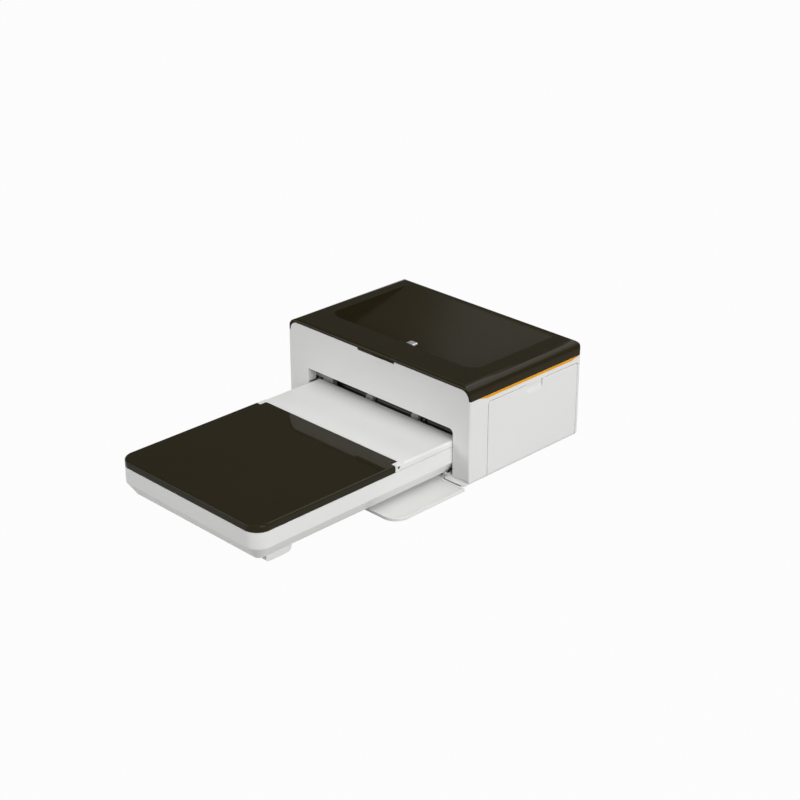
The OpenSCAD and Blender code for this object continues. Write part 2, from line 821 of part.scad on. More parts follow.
// Front flap, which folds down on the table and is hinged between the two ears
module front_flap() {
    x = half_w - 0.3;
    y1 = -ear_out - 0.2;
    tx0 = ear_left_x + seam;
    tx1 = ear_right_x - seam;
    color(c_white) placed() difference() {
        union() {
            along_z(flap_z0, flap_top_z) soft_rect(-x, -flap_reach, x, y1, flap_r, flap_r, 0.8, 0.8);
            block(tx0, y1 - 2, flap_z0, tx1, flap_axis_y - flap_knuckle_r - 0.1, flap_top_z - 0.1);
            flap_knuckle(tx0);
            flap_knuckle(tx1 - flap_knuckle_l);
        }
        // The inner field lies lower than the rim
        along_z(flap_top_z - flap_rim_h, flap_top_z + 1)
            soft_rect(-x + flap_rim, -flap_reach + flap_rim, x - flap_rim, y1 - flap_rim,
                      flap_r - flap_rim, flap_r - flap_rim, 0.4, 0.4);
        rod_x(tx0 - 1, tx0 + flap_knuckle_l + 1, flap_axis_y, flap_axis_z, flap_pin_r + play);
        rod_x(tx1 - flap_knuckle_l - 1, tx1 + 1, flap_axis_y, flap_axis_z, flap_pin_r + play);
    }
}

module flap_knuckle(x0) {
    rod_x(x0, x0 + flap_knuckle_l, flap_axis_y, flap_axis_z, flap_knuckle_r);
    block(x0, -ear_out, flap_z0, x0 + flap_knuckle_l, flap_axis_y + 0.3, flap_z0 + 2);
    block(x0, flap_axis_y - flap_knuckle_r, flap_z0 + 1, x0 + flap_knuckle_l, flap_axis_y, flap_axis_z);
}

module flap_hinge_pins() {
    color(c_steel) placed() {
        rod_x(ear_right_x - seam - flap_knuckle_l, ear_right_x + 5, flap_axis_y, flap_axis_z, flap_pin_r);
        rod_x(ear_left_x - 5, ear_left_x + seam + flap_knuckle_l, flap_axis_y, flap_axis_z, flap_pin_r);
    }
}

// Power button in the rear panel, with a flange behind it
module power_button() {
    color(c_dark) placed() {
        rod_y(panel_y0 - 1.6, body_d, button_x, port_z, button_r);
        rod_y(panel_y0 - 2.6, panel_y0 - 1.5, button_x, port_z, button_r + button_flange);
    }
}

// Barrel inlet for the power supply
module dc_jack() {
    color(c_dark) placed() difference() {
        union() {
            rod_y(panel_y0, body_d - 0.2, jack_x, port_z, jack_r);
            block(jack_x - jack_half, port_y0, board_top,
                  jack_x + jack_half, panel_y0, port_z + jack_half);
        }
        rod_y(panel_y0 - 9, body_d + 1, jack_x, port_z, jack_bore_r);
    }
    color(c_steel) placed() rod_y(panel_y0 - 9.2, body_d - 1.2, jack_x, port_z, 1);
}

// Port for a storage stick
module usb_port() {
    color(c_steel) placed() difference() {
        along_y(panel_y0 - 12, body_d - 0.2)
            soft_rect(usb_x - usb_w / 2, port_z - usb_h / 2, usb_x + usb_w / 2, port_z + usb_h / 2,
                      0.5, 0.5, 0.5, 0.5);
        difference() {
            along_y(panel_y0 - 10, body_d + 1)
                soft_rect(usb_x - usb_w / 2 + usb_skin, port_z - usb_h / 2 + usb_skin,
                          usb_x + usb_w / 2 - usb_skin, port_z + usb_h / 2 - usb_skin, 0.2, 0.2, 0.2, 0.2);
            block(usb_x - usb_w / 2 + 1.2, port_y0, port_z + 0.4,
                  usb_x + usb_w / 2 - 1.2, body_d - 2, port_z + 2.2);
        }
    }
    color(c_dark) placed()
        block(usb_x - usb_w / 2, port_y0, board_top, usb_x + usb_w / 2, panel_y0 - 2,
              port_z - usb_h / 2);
}

// Main circuit board on its standoffs, with its larger parts
module main_board() {
    color(c_board) placed() difference() {
        block(board_x0, board_y0, board_z, board_x1, board_y1, board_top);
        for (screw = board_screws)
            rod_z(board_z - 1, board_top + 1, screw[0], screw[1], board_screw_r);
    }
    color(c_dark) placed() {
        block(chip_x - chip_w, chip_y, board_top, chip_x, chip_y + chip_w, board_top + 1.6);
        block(chip_x + 8, chip_y + 2, board_top, chip_x + 16, chip_y + 12, board_top + 1.2);
        for (x = [chip_x + 30, chip_x + 40])
            rod_z(board_top, board_top + can_h, x, chip_y + 8, can_r);
        block(chip_x - 24 - connector_w, chip_y - 4, board_top, chip_x - 24, chip_y, board_top + 5);
    }
    color(c_steel) placed()
        for (screw = board_screws)
            rod_z(floor_z, board_top + 0.8, screw[0], screw[1], board_screw_r);
}

// Four round feet under the base plate
module rubber_feet() {
    color(c_rubber) placed()
        for (x = [-half_w + foot_in, half_w - foot_in])
            for (y = [foot_y0, body_d - foot_in])
                difference() {
                    rod_z(0, foot_h, x, y, foot_r);
                    rod_z(-1, 0.6, x, y, foot_r / 2);
                }
}

// Screws through the base plate into its posts
module case_screws() {
    color(c_steel) placed()
        for (post = base_posts)
            difference() {
                union() {
                    rod_z(foot_h + 0.2, foot_h + screw_head_h, post[0], post[1], screw_head_r - 0.1);
                    rod_z(foot_h + screw_head_h - eps, base_post_z - 1, post[0], post[1], screw_r);
                }
                for (l = [[cross_l, cross_w], [cross_w, cross_l]])
                    block(post[0] - l[0] / 2, post[1] - l[1] / 2, 0,
                          post[0] + l[0] / 2, post[1] + l[1] / 2, foot_h + 0.8);
            }
}

// Cross-section of the tray's wall side, from its middle (0) out to w, inset by g
module tray_profile(w, g) {
    k = tray_chamfer_in / (tray_chamfer_z - tray_z0);
    z0 = g > 0 ? tray_floor_z : tray_z0;
    zc = g > 0 ? tray_chamfer_z + 0.6 : tray_chamfer_z;
    top = g > 0 ? body_h : tray_wall_z;
    polygon([[0, z0], [w - k * (zc - z0), z0], [w, zc], [w, top], [0, top]]);
}

// Solid form of the tray inside a margin g, with round front corners and a chamfered foot
module tray_form(g) {
    x0 = tray_x0 + g;
    x1 = tray_x1 - g;
    y0 = -tray_reach + g;
    y1 = tray_inner - g;
    r = tray_r - g;
    along_y(y0 + r, y1) {
        translate([tray_x, 0]) tray_profile(x1 - tray_x, g);
        translate([tray_x, 0]) mirror([1, 0]) tray_profile(x1 - tray_x, g);
    }
    along_x(x0 + r, x1 - r) translate([y0 + 2 * r, 0]) mirror([1, 0]) tray_profile(2 * r, g);
    for (x = [x0 + r, x1 - r])
        translate([x, y0 + r, 0]) rotate_extrude() tray_profile(r, g);
}

// Tray: an open pan with lower walls inside the printer and a low rear wall
module tray_base() {
    color(c_white) placed() {
        difference() {
            tray_form(0);
            tray_form(tray_t);
            block(tray_x0 - 1, low_wall_y, low_wall_z, tray_x1 + 1, tray_inner + 1, body_h);
            block(tray_x0 - 1, tray_inner - tray_t - 1, rear_wall_z, tray_x1 + 1, tray_inner + 1, body_h);
            spring_pocket();
        }
        // Rails that guide the lower edges of the paper stack
        for (x = [tray_x - paper_w / 2 - rib_t - rail_gap, tray_x + paper_w / 2 + rail_gap])
            block(x, stack_y0 + 10, tray_floor_z - eps, x + rib_t, stack_y1 - 4, stack_z0 + 1);
        // Ribs under the outer part of the stack and the front edge of the lift plate
        for (x = [-3 : 2 : 3]) {
            rib_x = tray_x + x * rib_pitch - rib_t / 2;
            block(rib_x, stack_y0 + 10, tray_floor_z - eps, rib_x + rib_t, lift_y0 - seam, stack_z0 - 0.02);
            block(rib_x, lift_y0 - 1, tray_floor_z - eps, rib_x + rib_t, lift_y0 + lift_lap,
                  stack_z0 - lift_t);
        }
    }
}

module spring_pocket() {
    rod_z(tray_floor_z - pocket_h, tray_floor_z + 1, tray_x, spring_y, spring_r + 0.6);
}

// White plate over the tray's inner half, where the prints come out, with ears for the cover
module tray_plate() {
    y0 = -plate_front;
    color(c_white) placed() difference() {
        union() {
            difference() {
                along_y(y0, plate_inner)
                    soft_rect(tray_x0, tray_wall_z + skirt_gap, tray_x1, plate_z, 0, 0, edge_r, edge_r);
                block(tray_x0 + sheet_t, y0 + sheet_t, 0, tray_x1 - sheet_t, plate_inner + 1,
                      plate_z - sheet_t);
                block(tray_x0 + ear_w, y0 - 1, 0, tray_x1 - ear_w, y0 + sheet_t + 1, plate_z - sheet_t);
            }
            cover_ear(tray_x0);
            cover_ear(tray_x1 - ear_w);
            // Spigots that locate the plate inside the tray's walls
            for (x = [tray_x0 + tray_t + 0.1, tray_x1 - tray_t - 0.1 - spigot_w])
                for (y = [y0 + 8, -8])
                    block(x, y, tray_wall_z - 3, x + spigot_w, y + spigot_l, plate_z - 1);
        }
        rod_x(tray_x0 + ear_w, tray_x1 - ear_w, hinge_y, hinge_z, hinge_relief_r);
        rod_x(tray_x0 - 1, tray_x0 + ear_w + 1, hinge_y, hinge_z, hinge_pin_r);
        rod_x(tray_x1 - ear_w - 1, tray_x1 + 1, hinge_y, hinge_z, hinge_pin_r);
    }
}

// Hinge ear: square below, rounded about the hinge axis above
module cover_ear(x0) {
    z0 = tray_wall_z + skirt_gap;
    reach = plate_front + ear_l;
    along_x(x0, x0 + ear_w) {
        translate([-reach, z0]) square([ear_l + 3, hinge_z - z0]);
        intersection() {
            translate([-reach, hinge_z - eps]) square([ear_l + 3, plate_z - hinge_z + eps]);
            union() {
                translate([hinge_y, hinge_z]) circle(reach + hinge_y + 0.1);
                translate([hinge_y, 0]) square([10, plate_z]);
            }
        }
    }
}

// Solid form of the cover inside a margin g, with round front corners and edges
module cover_form(g, z0, z1, r_edge) {
    x0 = tray_x0 + g;
    x1 = tray_x1 - g;
    y0 = -tray_reach + g;
    y1 = -plate_front - 0.2;
    r = tray_r - g;
    along_y(y0 + r, y1) soft_rect(x0, z0, x1, z1, 0, 0, r_edge, r_edge);
    along_x(x0 + r, x1 - r) soft_rect(y0, z0, y0 + 2 * r, z1, 0, 0, 0, r_edge);
    for (x = [x0 + r, x1 - r])
        translate([x, y0 + r, 0]) rotate_extrude() soft_rect(0, z0, r, z1, 0, 0, r_edge, 0);
}

// Black cover of the paper tray, which turns up on pins in the plate's ears
module tray_cover() {
    z0 = tray_wall_z + skirt_gap;
    k0 = tray_x0 + ear_w + seam;
    k1 = tray_x1 - ear_w - seam - knuckle_w;
    ear_y = -plate_front - ear_l - seam;
    color(c_black) placed() difference() {
        union() {
            difference() {
                cover_form(0, z0, cover_z, edge_r);
                cover_form(cover_skirt_t, z0 - 1, cover_z - cover_t, 0);
                // Everything nearer the hinge than the ears' front is open below
                block(tray_x0 + cover_skirt_t, ear_y, 0, tray_x1 - cover_skirt_t, 0, cover_z - cover_t);
                // Room for the ears
                for (x = [tray_x0 - 1, tray_x1 - ear_w - seam])
                    block(x, ear_y, 0, x + ear_w + seam + 1, 0, cover_z + 1);
            }
            for (x = [k0, k1]) {
                rod_x(x, x + knuckle_w, hinge_y, hinge_z, hinge_pin_r + 1.1);
                block(x, hinge_y - 2, hinge_z, x + knuckle_w, hinge_y + 1.2, cover_z - 0.4);
            }
        }
        // The inner edge is rolled about the hinge axis
        difference() {
            block(tray_x0, hinge_y, hinge_z - 5, tray_x1, 0, cover_z + 1);
            rod_x(tray_x0 - 1, tray_x1 + 1, hinge_y, hinge_z, hinge_roll_r);
        }
        for (x = [k0, k1])
            rod_x(x - 1, x + knuckle_w + 1, hinge_y, hinge_z, hinge_pin_r + play);
    }
}

module tray_hinge_pins() {
    color(c_steel) placed() {
        rod_x(tray_x0 + 0.3, tray_x0 + ear_w + seam + knuckle_w - 0.4, hinge_y, hinge_z, hinge_pin_r);
        rod_x(tray_x1 - ear_w - seam - knuckle_w + 0.4, tray_x1 - 0.3, hinge_y, hinge_z, hinge_pin_r);
    }
}

// Low feet that carry the tray's outer end
module tray_feet() {
    color(c_white) placed()
        for (x = [tray_x0 + foot_side, tray_x1 - foot_side - foot_w])
            along_x(x, x + foot_w)
                soft_rect(-tray_reach + foot_from, 0, -tray_reach + foot_from + foot_l, tray_z0,
                          2.5, 4, 0, 0);
}

// Guide in the tray's inner left corner, which sets the stack's left edge
module tray_edge_guide() {
    color(c_grey) placed() difference() {
        union() {
            block(tray_x0 + tray_t + 0.2, guide_y0, tray_chamfer_z + 0.8,
                  guide_x1, guide_y0 + guide_t, guide_top_z);
            block(tray_x0 + tray_t + 3, guide_y0, tray_chamfer_z - 2,
                  guide_x1, guide_y0 + guide_t, tray_chamfer_z + 1);
        }
        block(tray_x0, guide_y0 - 1, guide_top_z - 1.6, guide_x1 - 3, guide_y0 + 1.2, guide_top_z + 1);
    }
}

// Plate under the inner part of the stack: its front edge lies on the ribs, its spring lifts the rest
module lift_plate() {
    color(c_steel) placed() difference() {
        block(tray_x - paper_w / 2 + 1, lift_y0, stack_z0 - lift_t, tray_x + paper_w / 2 - 1, stack_y1,
              stack_z0);
        for (x = [tray_x - 30, tray_x + 30])
            rod_z(0, stack_z0 + 1, x, 4, 6);
    }
}

// Conical spring under the lift plate, drawn as its stacked turns
module lift_spring() {
    color(c_steel) placed() translate([tray_x, spring_y, tray_floor_z - pocket_h])
        rotate_extrude() spring_profile();
}

module spring_profile() {
    turns = 4;
    rise = (stack_z0 - lift_t - tray_floor_z + pocket_h) / turns;
    for (i = [0 : turns - 1])
        translate([spring_r - (i + 1) * spring_wire, i * rise])
            square([spring_wire, rise + (i < turns - 1 ? 0.2 : 0)]);
}

// Stack of print paper in the tray
module paper_stack() {
    color(c_paper) placed()
        block(tray_x - paper_w / 2, stack_y0, stack_z0, tray_x + paper_w / 2, stack_y1, stack_top_z);
}

// Steel side plates that carry the rollers
module side_plate_outline() {
    difference() {
        soft_rect(plate_y0, floor_z, plate_y1, plate_top_z, 0, 0, 6, 6);
        // Waist over the lower rear, where the motor and the board lie
        soft_rect(platen_y + 6, floor_z + 11.5, plate_y1 - 8, path_z - 5.5, waist_r, waist_r, waist_r, waist_r);
        translate([capstan_y, capstan_z]) circle(shaft_r + play);
        translate([pickup_y, pickup_z]) circle(shaft_r + play);
        translate([capstan_y, pinch_z]) circle(journal_r + play);
        translate([platen_y, platen_z]) circle(shaft_r + play);
        translate([head_pivot_y, head_pivot_z]) circle(head_pin_r + play);
        for (bar = tie_bars)
            translate(bar) circle(tie_end_r);
    }
}

module chassis_left() {
    color(c_steel) placed() {
        difference() {
            along_x(left_plate_x0, left_plate_x1) side_plate_outline();
            rod_x(left_plate_x0 - 1, left_plate_x1 + 1, takeup_y, tube_z, shaft_r + play);
            rod_x(left_plate_x0 - 1, left_plate_x1 + 1, motor_y, motor_z, motor_boss_r);
        }
        // Stud of the idler gear and standoffs of the ribbon motor
        rod_x(layer_b0 - end_out + 0.2, left_plate_x0, idler_y, idler_z, journal_r);
        for (side = [-1, 1])
            rod_x(ribbon_motor_x1 - flange_t, left_plate_x0, ribbon_motor_y + side * standoff_dy,
                  tube_z + side * standoff_dz, standoff_r);
    }
}

module chassis_right() {
    color(c_steel) placed() difference() {
        along_x(right_plate_x0, right_plate_x1) side_plate_outline();
        // Window that the ribbon cartridge slides through
        along_x(right_plate_x0 - 1, right_plate_x1 + 1) {
            translate([takeup_y, tube_z]) circle(tube_r + 0.4);
            translate([supply_y, tube_z]) circle(tube_r + 0.4);
            translate([takeup_y, path_z + 0.1]) square([supply_y - takeup_y, 4]);
        }
    }
}

// Bars that hold the side plates apart
module chassis_tie_bars() {
    color(c_steel) placed()
        for (bar = tie_bars) {
            rod_x(left_plate_x1, right_plate_x0, bar[0], bar[1], tie_r);
            rod_x(left_plate_x0 - end_out, left_plate_x1 + eps, bar[0], bar[1], tie_end_r);
            rod_x(right_plate_x0 - eps, right_plate_x1 + end_out, bar[0], bar[1], tie_end_r);
        }
}

module pickup_shaft() {
    color(c_dark) placed() {
        rod_x(layer_a0 - 0.3, right_plate_x1 + 1, pickup_y, pickup_z, shaft_r);
        rod_x(tray_x - pickup_tyre_x + pickup_tyre_w / 2, tray_x + pickup_tyre_x - pickup_tyre_w / 2,
              pickup_y, pickup_z, roller_seat_r);
        for (side = [-1, 1])
            rod_x(tray_x + side * collar_x - 1, tray_x + side * collar_x + 1, pickup_y, pickup_z,
                  shaft_r + 1.6);
    }
}

// Grey rubber tyres of the pick-up rollers, with a shallow tread
module pickup_rollers() {
    color(c_grey) placed()
        for (side = [-1, 1])
            translate([tray_x + side * pickup_tyre_x, pickup_y, pickup_z]) rotate([0, 90, 0])
                difference() {
                    cylinder(h = pickup_tyre_w, r = pickup_r, center = true);
                    cylinder(h = pickup_tyre_w + 1, r = roller_seat_r, center = true);
                    for (i = [-1, 0, 1])
                        translate([0, 0, i * 2]) rotate_extrude()
                            translate([pickup_r - tread_h, -tread_w / 2]) square([1, tread_w]);
                }
}

// Corner points of an involute gear with n teeth, tooth 0 pointing along +Y
function inv_deg(a) = tan(a) * 180 / PI - a;
function gear_half(n, rho) =
    let (r = gear_m * n / 2, rb = r * cos(20), c = min(1, rb / rho))
    90 / n - gear_slack / r * 180 / PI + inv_deg(20) - inv_deg(acos(c));
function gear_points(n) =
    let (r = gear_m * n / 2, rb = r * cos(20), rf = r - 1.2 * gear_m, ra = r + 0.95 * gear_m,
         rho = [rf, max(rb, rf + 0.05), r, ra])
    [for (i = [0 : n - 1]) for (k = [0 : 7])
        let (j = k < 4 ? k : 7 - k, s = k < 4 ? -1 : 1,
             a = i * 360 / n + s * gear_half(n, max(rho[j], rb)))
        [rho[j] * cos(a), rho[j] * sin(a)]];

// A spur gear in a layer from x0 to x1, turned by phase degrees, with a bore
module gear(x0, x1, y, z, n, phase, bore) {
    translate([0, y, z]) along_x(x0, x1) rotate(phase) difference() {
        polygon(gear_points(n));
        circle(bore);
    }
}

module pickup_gear() {
    color(c_white) placed() {
        gear(layer_a0, layer_a1, pickup_y, pickup_z, pickup_teeth, pickup_phase, shaft_r);
    }
}

// Steel capstan with a fine grip over the width of the paper
module capstan_roller() {
    color(c_steel) placed() {
        rod_x(tray_x - paper_w / 2 - 4, tray_x + paper_w / 2 + 4, capstan_y, capstan_z, capstan_r);
        rod_x(layer_b0 - 0.4, right_plate_x1 + 1, capstan_y, capstan_z, shaft_r);
    }
}

// Double gear of the capstan: the small one drives the pick-up, the large one meets the idler
module capstan_gear() {
    color(c_white) placed() {
        gear(layer_a0, layer_a1, capstan_y, capstan_z, capstan_teeth, 0, shaft_r);
        gear(layer_b0, layer_b1, capstan_y, capstan_z, big_teeth, 0, shaft_r);
        difference() {
            rod_x(layer_b1 - eps, layer_a0 + eps, capstan_y, capstan_z, shaft_r + 1.5);
            rod_x(layer_b1 - 1, layer_a0 + 1, capstan_y, capstan_z, shaft_r);
        }
    }
}

module pinch_roller() {
    color(c_steel) placed() {
        rod_x(tray_x - paper_w / 2 - 3, tray_x + paper_w / 2 + 3, capstan_y, pinch_z, pinch_r);
        rod_x(left_plate_x0 - end_out, right_plate_x1 + end_out, capstan_y, pinch_z, journal_r);
    }
}

module platen_roller() {
    color(c_rubber) placed()
        rod_x(tray_x - paper_w / 2 - 2, tray_x + paper_w / 2 + 2, platen_y, platen_z, platen_r);
    color(c_steel) placed()
        rod_x(left_plate_x0 - end_out, right_plate_x1 + end_out, platen_y, platen_z, shaft_r);
}

// Feed motor inside the left side plate, with a boss that fits the plate's hole
module feed_motor() {
    color(c_steel) placed() difference() {
        union() {
            rod_x(left_plate_x1, left_plate_x1 + motor_l, motor_y, motor_z, motor_r);
            rod_x(left_plate_x0, left_plate_x1 + eps, motor_y, motor_z, motor_boss_r);
            rod_x(left_plate_x1 + motor_l - eps, left_plate_x1 + motor_l + 1.4, motor_y, motor_z, 3.4);
        }
        rod_x(left_plate_x0 - 1, left_plate_x1 + motor_l - 2, motor_y, motor_z,
              motor_shaft_r + play);
    }
}

module motor_pinion() {
    color(c_steel) placed() {
        gear(layer_b0, layer_b1, motor_y, motor_z, pinion_teeth, motor_phase, motor_shaft_r);
        rod_x(layer_b0 - 0.3, left_plate_x1 + motor_l - 3, motor_y, motor_z, motor_shaft_r);
    }
}

module idler_gear() {
    color(c_white) placed()
        gear(layer_b0, layer_b1, idler_y, idler_z, big_teeth, idler_phase, journal_r + play);
}

// Bracket that carries the print head and turns on pins in the side plates
module head_bracket() {
    x0 = left_plate_x1 + bracket_in;
    x1 = right_plate_x0 - bracket_in;
    color(c_steel) placed() {
        block(tray_x - head_w / 2, head_y0 + 1, head_z1, tray_x + head_w / 2, head_y1, head_z1 + bracket_t);
        for (x = [x0, x1 - bracket_t])
            along_x(x, x + bracket_t) {
                translate([head_pivot_y, head_pivot_z]) circle(2 * head_pin_r);
                translate([bracket_y0, head_z1 - bracket_h])
                    square([head_pivot_y - bracket_y0, bracket_h + bracket_t]);
            }
        for (x = [x0, tray_x + head_w / 2 - eps])
            block(x, bracket_y0, head_z1, x + arm_gap(x), head_y1, head_z1 + bracket_t);
        rod_x(left_plate_x0 - end_out, x0 + 0.6, head_pivot_y, head_pivot_z, head_pin_r);
        rod_x(x1 - 0.6, right_plate_x1 + end_out, head_pivot_y, head_pivot_z, head_pin_r);
    }
}

// Print head: finned heat sink and the thermal strip on its lower edge
module print_head() {
    color(c_grey) placed() difference() {
        block(tray_x - head_w / 2, head_y0, head_z0, tray_x + head_w / 2, head_y1, head_z1);
        for (i = [0 : fin_n - 1])
            block(tray_x - head_w / 2 - 1, head_y0 + 2 + i * fin_pitch, head_z0 + 4,
                  tray_x + head_w / 2 + 1, head_y0 + 2 + i * fin_pitch + fin_gap, head_z1 - 2.5);
    }
    color(c_dark) placed() {
        block(tray_x - head_w / 2 + 1, platen_y - strip_w / 2, path_z + 0.5,
              tray_x + head_w / 2 - 1, platen_y + strip_w / 2, head_z0);
    }
}

// Ribbon cartridge: two tubes joined by a bar at each end
module ribbon_case() {
    color(c_dark) placed() difference() {
        union() {
            for (y = [takeup_y, supply_y])
                rod_x(case_x0, case_x1, y, tube_z, tube_r);
            for (x = [case_x0, case_x1 - case_bar_w])
                block(x, takeup_y, path_z + 0.5, x + case_bar_w, supply_y, path_z + 0.5 + case_bar_h);
            // Pull tab at the outer end
            block(case_x1 - tab_t, takeup_y + tab_in, path_z + 0.4 + case_bar_h,
                  case_x1, supply_y - tab_in, tab_top_z);
        }
        for (y = [takeup_y, supply_y]) {
            rod_x(case_x0 + tube_t, case_x1 - tube_t, y, tube_z, tube_r - tube_t);
            rod_x(case_x0 - 1, case_x1 + 1, y, tube_z, spool_r + play);
        }
        // Slots where the film leaves the tubes
        for (y = [takeup_y + 1, supply_y - 1 - film_exit_l])
            block(tray_x - film_w / 2, y, path_z + 2, tray_x + film_w / 2, y + film_exit_l, tube_z - 1.5);
    }
}

// Ribbon film from the supply roll, under the print head, to the take-up roll
module ribbon_film() {
    low = path_z + film_low;
    a = [[takeup_y + roll_r - 0.6, tube_z - 3.4], [head_y0 + 2, low], [head_y1 - 1, low],
         [supply_y - roll_r + 0.6, tube_z - 3.4]];
    up = low + film_t - 0.02;
    color(c_film) placed()
        along_x(tray_x - film_w / 2 + 1, tray_x + film_w / 2 - 1)
            polygon([a[0], a[1], a[2], a[3], [a[3][0] + 0.04, a[3][1] + film_t], [a[2][0], up],
                     [a[1][0], up], [a[0][0] - 0.04, a[0][1] + film_t]]);
}

// A spool of radius spool_r with its roll of film, bored at the left end for a spindle
module ribbon_spool(y, roll) {
    color(c_grey) placed() difference() {
        rod_x(case_x0 - 0.4, case_x1 + 0.4, y, tube_z, spool_r);
        rod_x(case_x0 - 1.4, case_x0 + 8, y, tube_z, shaft_r);
    }
    color(c_film) placed()
        rod_x(tray_x - film_w / 2 + 1, tray_x + film_w / 2 - 1, y, tube_z, roll);
}

module supply_spool() {
    ribbon_spool(supply_y, roll_r - 0.2);
}

module takeup_spool() {
    ribbon_spool(takeup_y, roll_r - 1.6);
}

// Take-up gear with the spindle that enters the spool
module takeup_gear() {
    color(c_white) placed() {
        gear(layer_a0, layer_a1, takeup_y, tube_z, takeup_teeth, 0, shaft_r);
        rod_x(layer_a0 - 0.3, case_x0 + 7, takeup_y, tube_z, shaft_r);
    }
}

module ribbon_motor() {
    color(c_steel) placed() difference() {
        union() {
            rod_x(ribbon_motor_x0, ribbon_motor_x1, ribbon_motor_y, tube_z, ribbon_motor_r);
            along_x(ribbon_motor_x1 - flange_t, ribbon_motor_x1)
                translate([ribbon_motor_y, tube_z]) rotate(flange_turn) motor_flange();
        }
        rod_x(ribbon_motor_x0 + 2, ribbon_motor_x1 + 1, ribbon_motor_y, tube_z, motor_shaft_r + play);
        for (side = [-1, 1])
            rod_x(ribbon_motor_x1 - 2, ribbon_motor_x1 + 1, ribbon_motor_y + side * standoff_dy,
                  tube_z + side * standoff_dz, standoff_r);
    }
}

module motor_flange() {
    translate([-flange_r, -standoff]) square([2 * flange_r, 2 * standoff]);
    for (side = [-1, 1])
        translate([0, side * standoff]) circle(flange_r);
}

module ribbon_pinion() {
    color(c_steel) placed() {
        gear(layer_a0, layer_a1, ribbon_motor_y, tube_z, pinion_teeth, ribbon_phase, motor_shaft_r);
        rod_x(ribbon_motor_x0 + 3, layer_a1 + 0.2, ribbon_motor_y, tube_z, motor_shaft_r);
    }
}

housing();
base_plate();
rear_panel();
top_lid();
accent_strip_right();
accent_strip_left();
ribbon_door();
front_flap();
flap_hinge_pins();
dock_block();
dock_plug();
power_button();
dc_jack();
usb_port();
main_board();
rubber_feet();
case_screws();
tray_base();
tray_plate();
tray_cover();
tray_hinge_pins();
tray_feet();
tray_edge_guide();
lift_plate();
lift_spring();
paper_stack();
chassis_left();
chassis_right();
chassis_tie_bars();
pickup_shaft();
pickup_rollers();
pickup_gear();
capstan_roller();
capstan_gear();
pinch_roller();
platen_roller();
feed_motor();
motor_pinion();
idler_gear();
head_bracket();
print_head();
ribbon_case();
ribbon_film();
supply_spool();
takeup_spool();
takeup_gear();
ribbon_motor();
ribbon_pinion();
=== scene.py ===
"""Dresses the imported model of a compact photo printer: moulded shells, finishes, small parts and a studio."""

import json
import math

import bpy
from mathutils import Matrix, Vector


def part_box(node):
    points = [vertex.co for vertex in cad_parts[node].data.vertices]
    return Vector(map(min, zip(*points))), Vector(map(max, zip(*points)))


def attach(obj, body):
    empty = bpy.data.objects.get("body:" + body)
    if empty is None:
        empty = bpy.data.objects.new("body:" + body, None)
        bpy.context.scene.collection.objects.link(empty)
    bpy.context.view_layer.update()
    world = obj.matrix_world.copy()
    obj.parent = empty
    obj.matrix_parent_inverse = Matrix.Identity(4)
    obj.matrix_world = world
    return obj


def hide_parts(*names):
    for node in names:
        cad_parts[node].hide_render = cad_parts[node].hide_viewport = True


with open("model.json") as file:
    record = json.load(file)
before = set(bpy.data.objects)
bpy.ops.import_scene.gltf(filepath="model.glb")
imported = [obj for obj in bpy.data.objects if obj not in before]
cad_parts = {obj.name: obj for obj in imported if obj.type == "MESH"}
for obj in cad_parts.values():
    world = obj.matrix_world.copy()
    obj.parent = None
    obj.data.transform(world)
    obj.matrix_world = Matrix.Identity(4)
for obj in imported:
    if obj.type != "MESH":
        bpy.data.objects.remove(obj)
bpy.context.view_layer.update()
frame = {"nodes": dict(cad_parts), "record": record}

bl_info = {
    "name": "Compact photo printer",
    "version": (1, 0, 0),
    "blender": (4, 5, 0),
    "location": "3D View > Sidebar > Printer",
    "description": "Builds the looks of a compact photo printer round its packed CAD model",
    "category": "Object",
}

MM = 0.001

# Welding distance and flatness for copies of CAD nodes.
WELD = 0.02 * MM
FLAT = math.radians(0.4)

# An edge is rounded where each surface beside it is ROOM roundings wide, no face corner on it is
# thinner than THIN_FACE, and no surface corner on it is thinner than THIN_CORNER.
ROOM = 2.2
THIN_FACE = math.radians(12)
THIN_CORNER = math.radians(35)

# Meeting angle in degrees above which an edge counts as sharp, and the same for gears and film.
SHARP = 32
GEAR_SHARP = 40
GEAR_EDGE = 0.05 * MM

# The Mix node's colour sockets: first colour, second colour and result.
MIX_FIRST, MIX_SECOND, MIX_RESULT = 6, 7, 2


# ---------------------------------------------------------------- settings


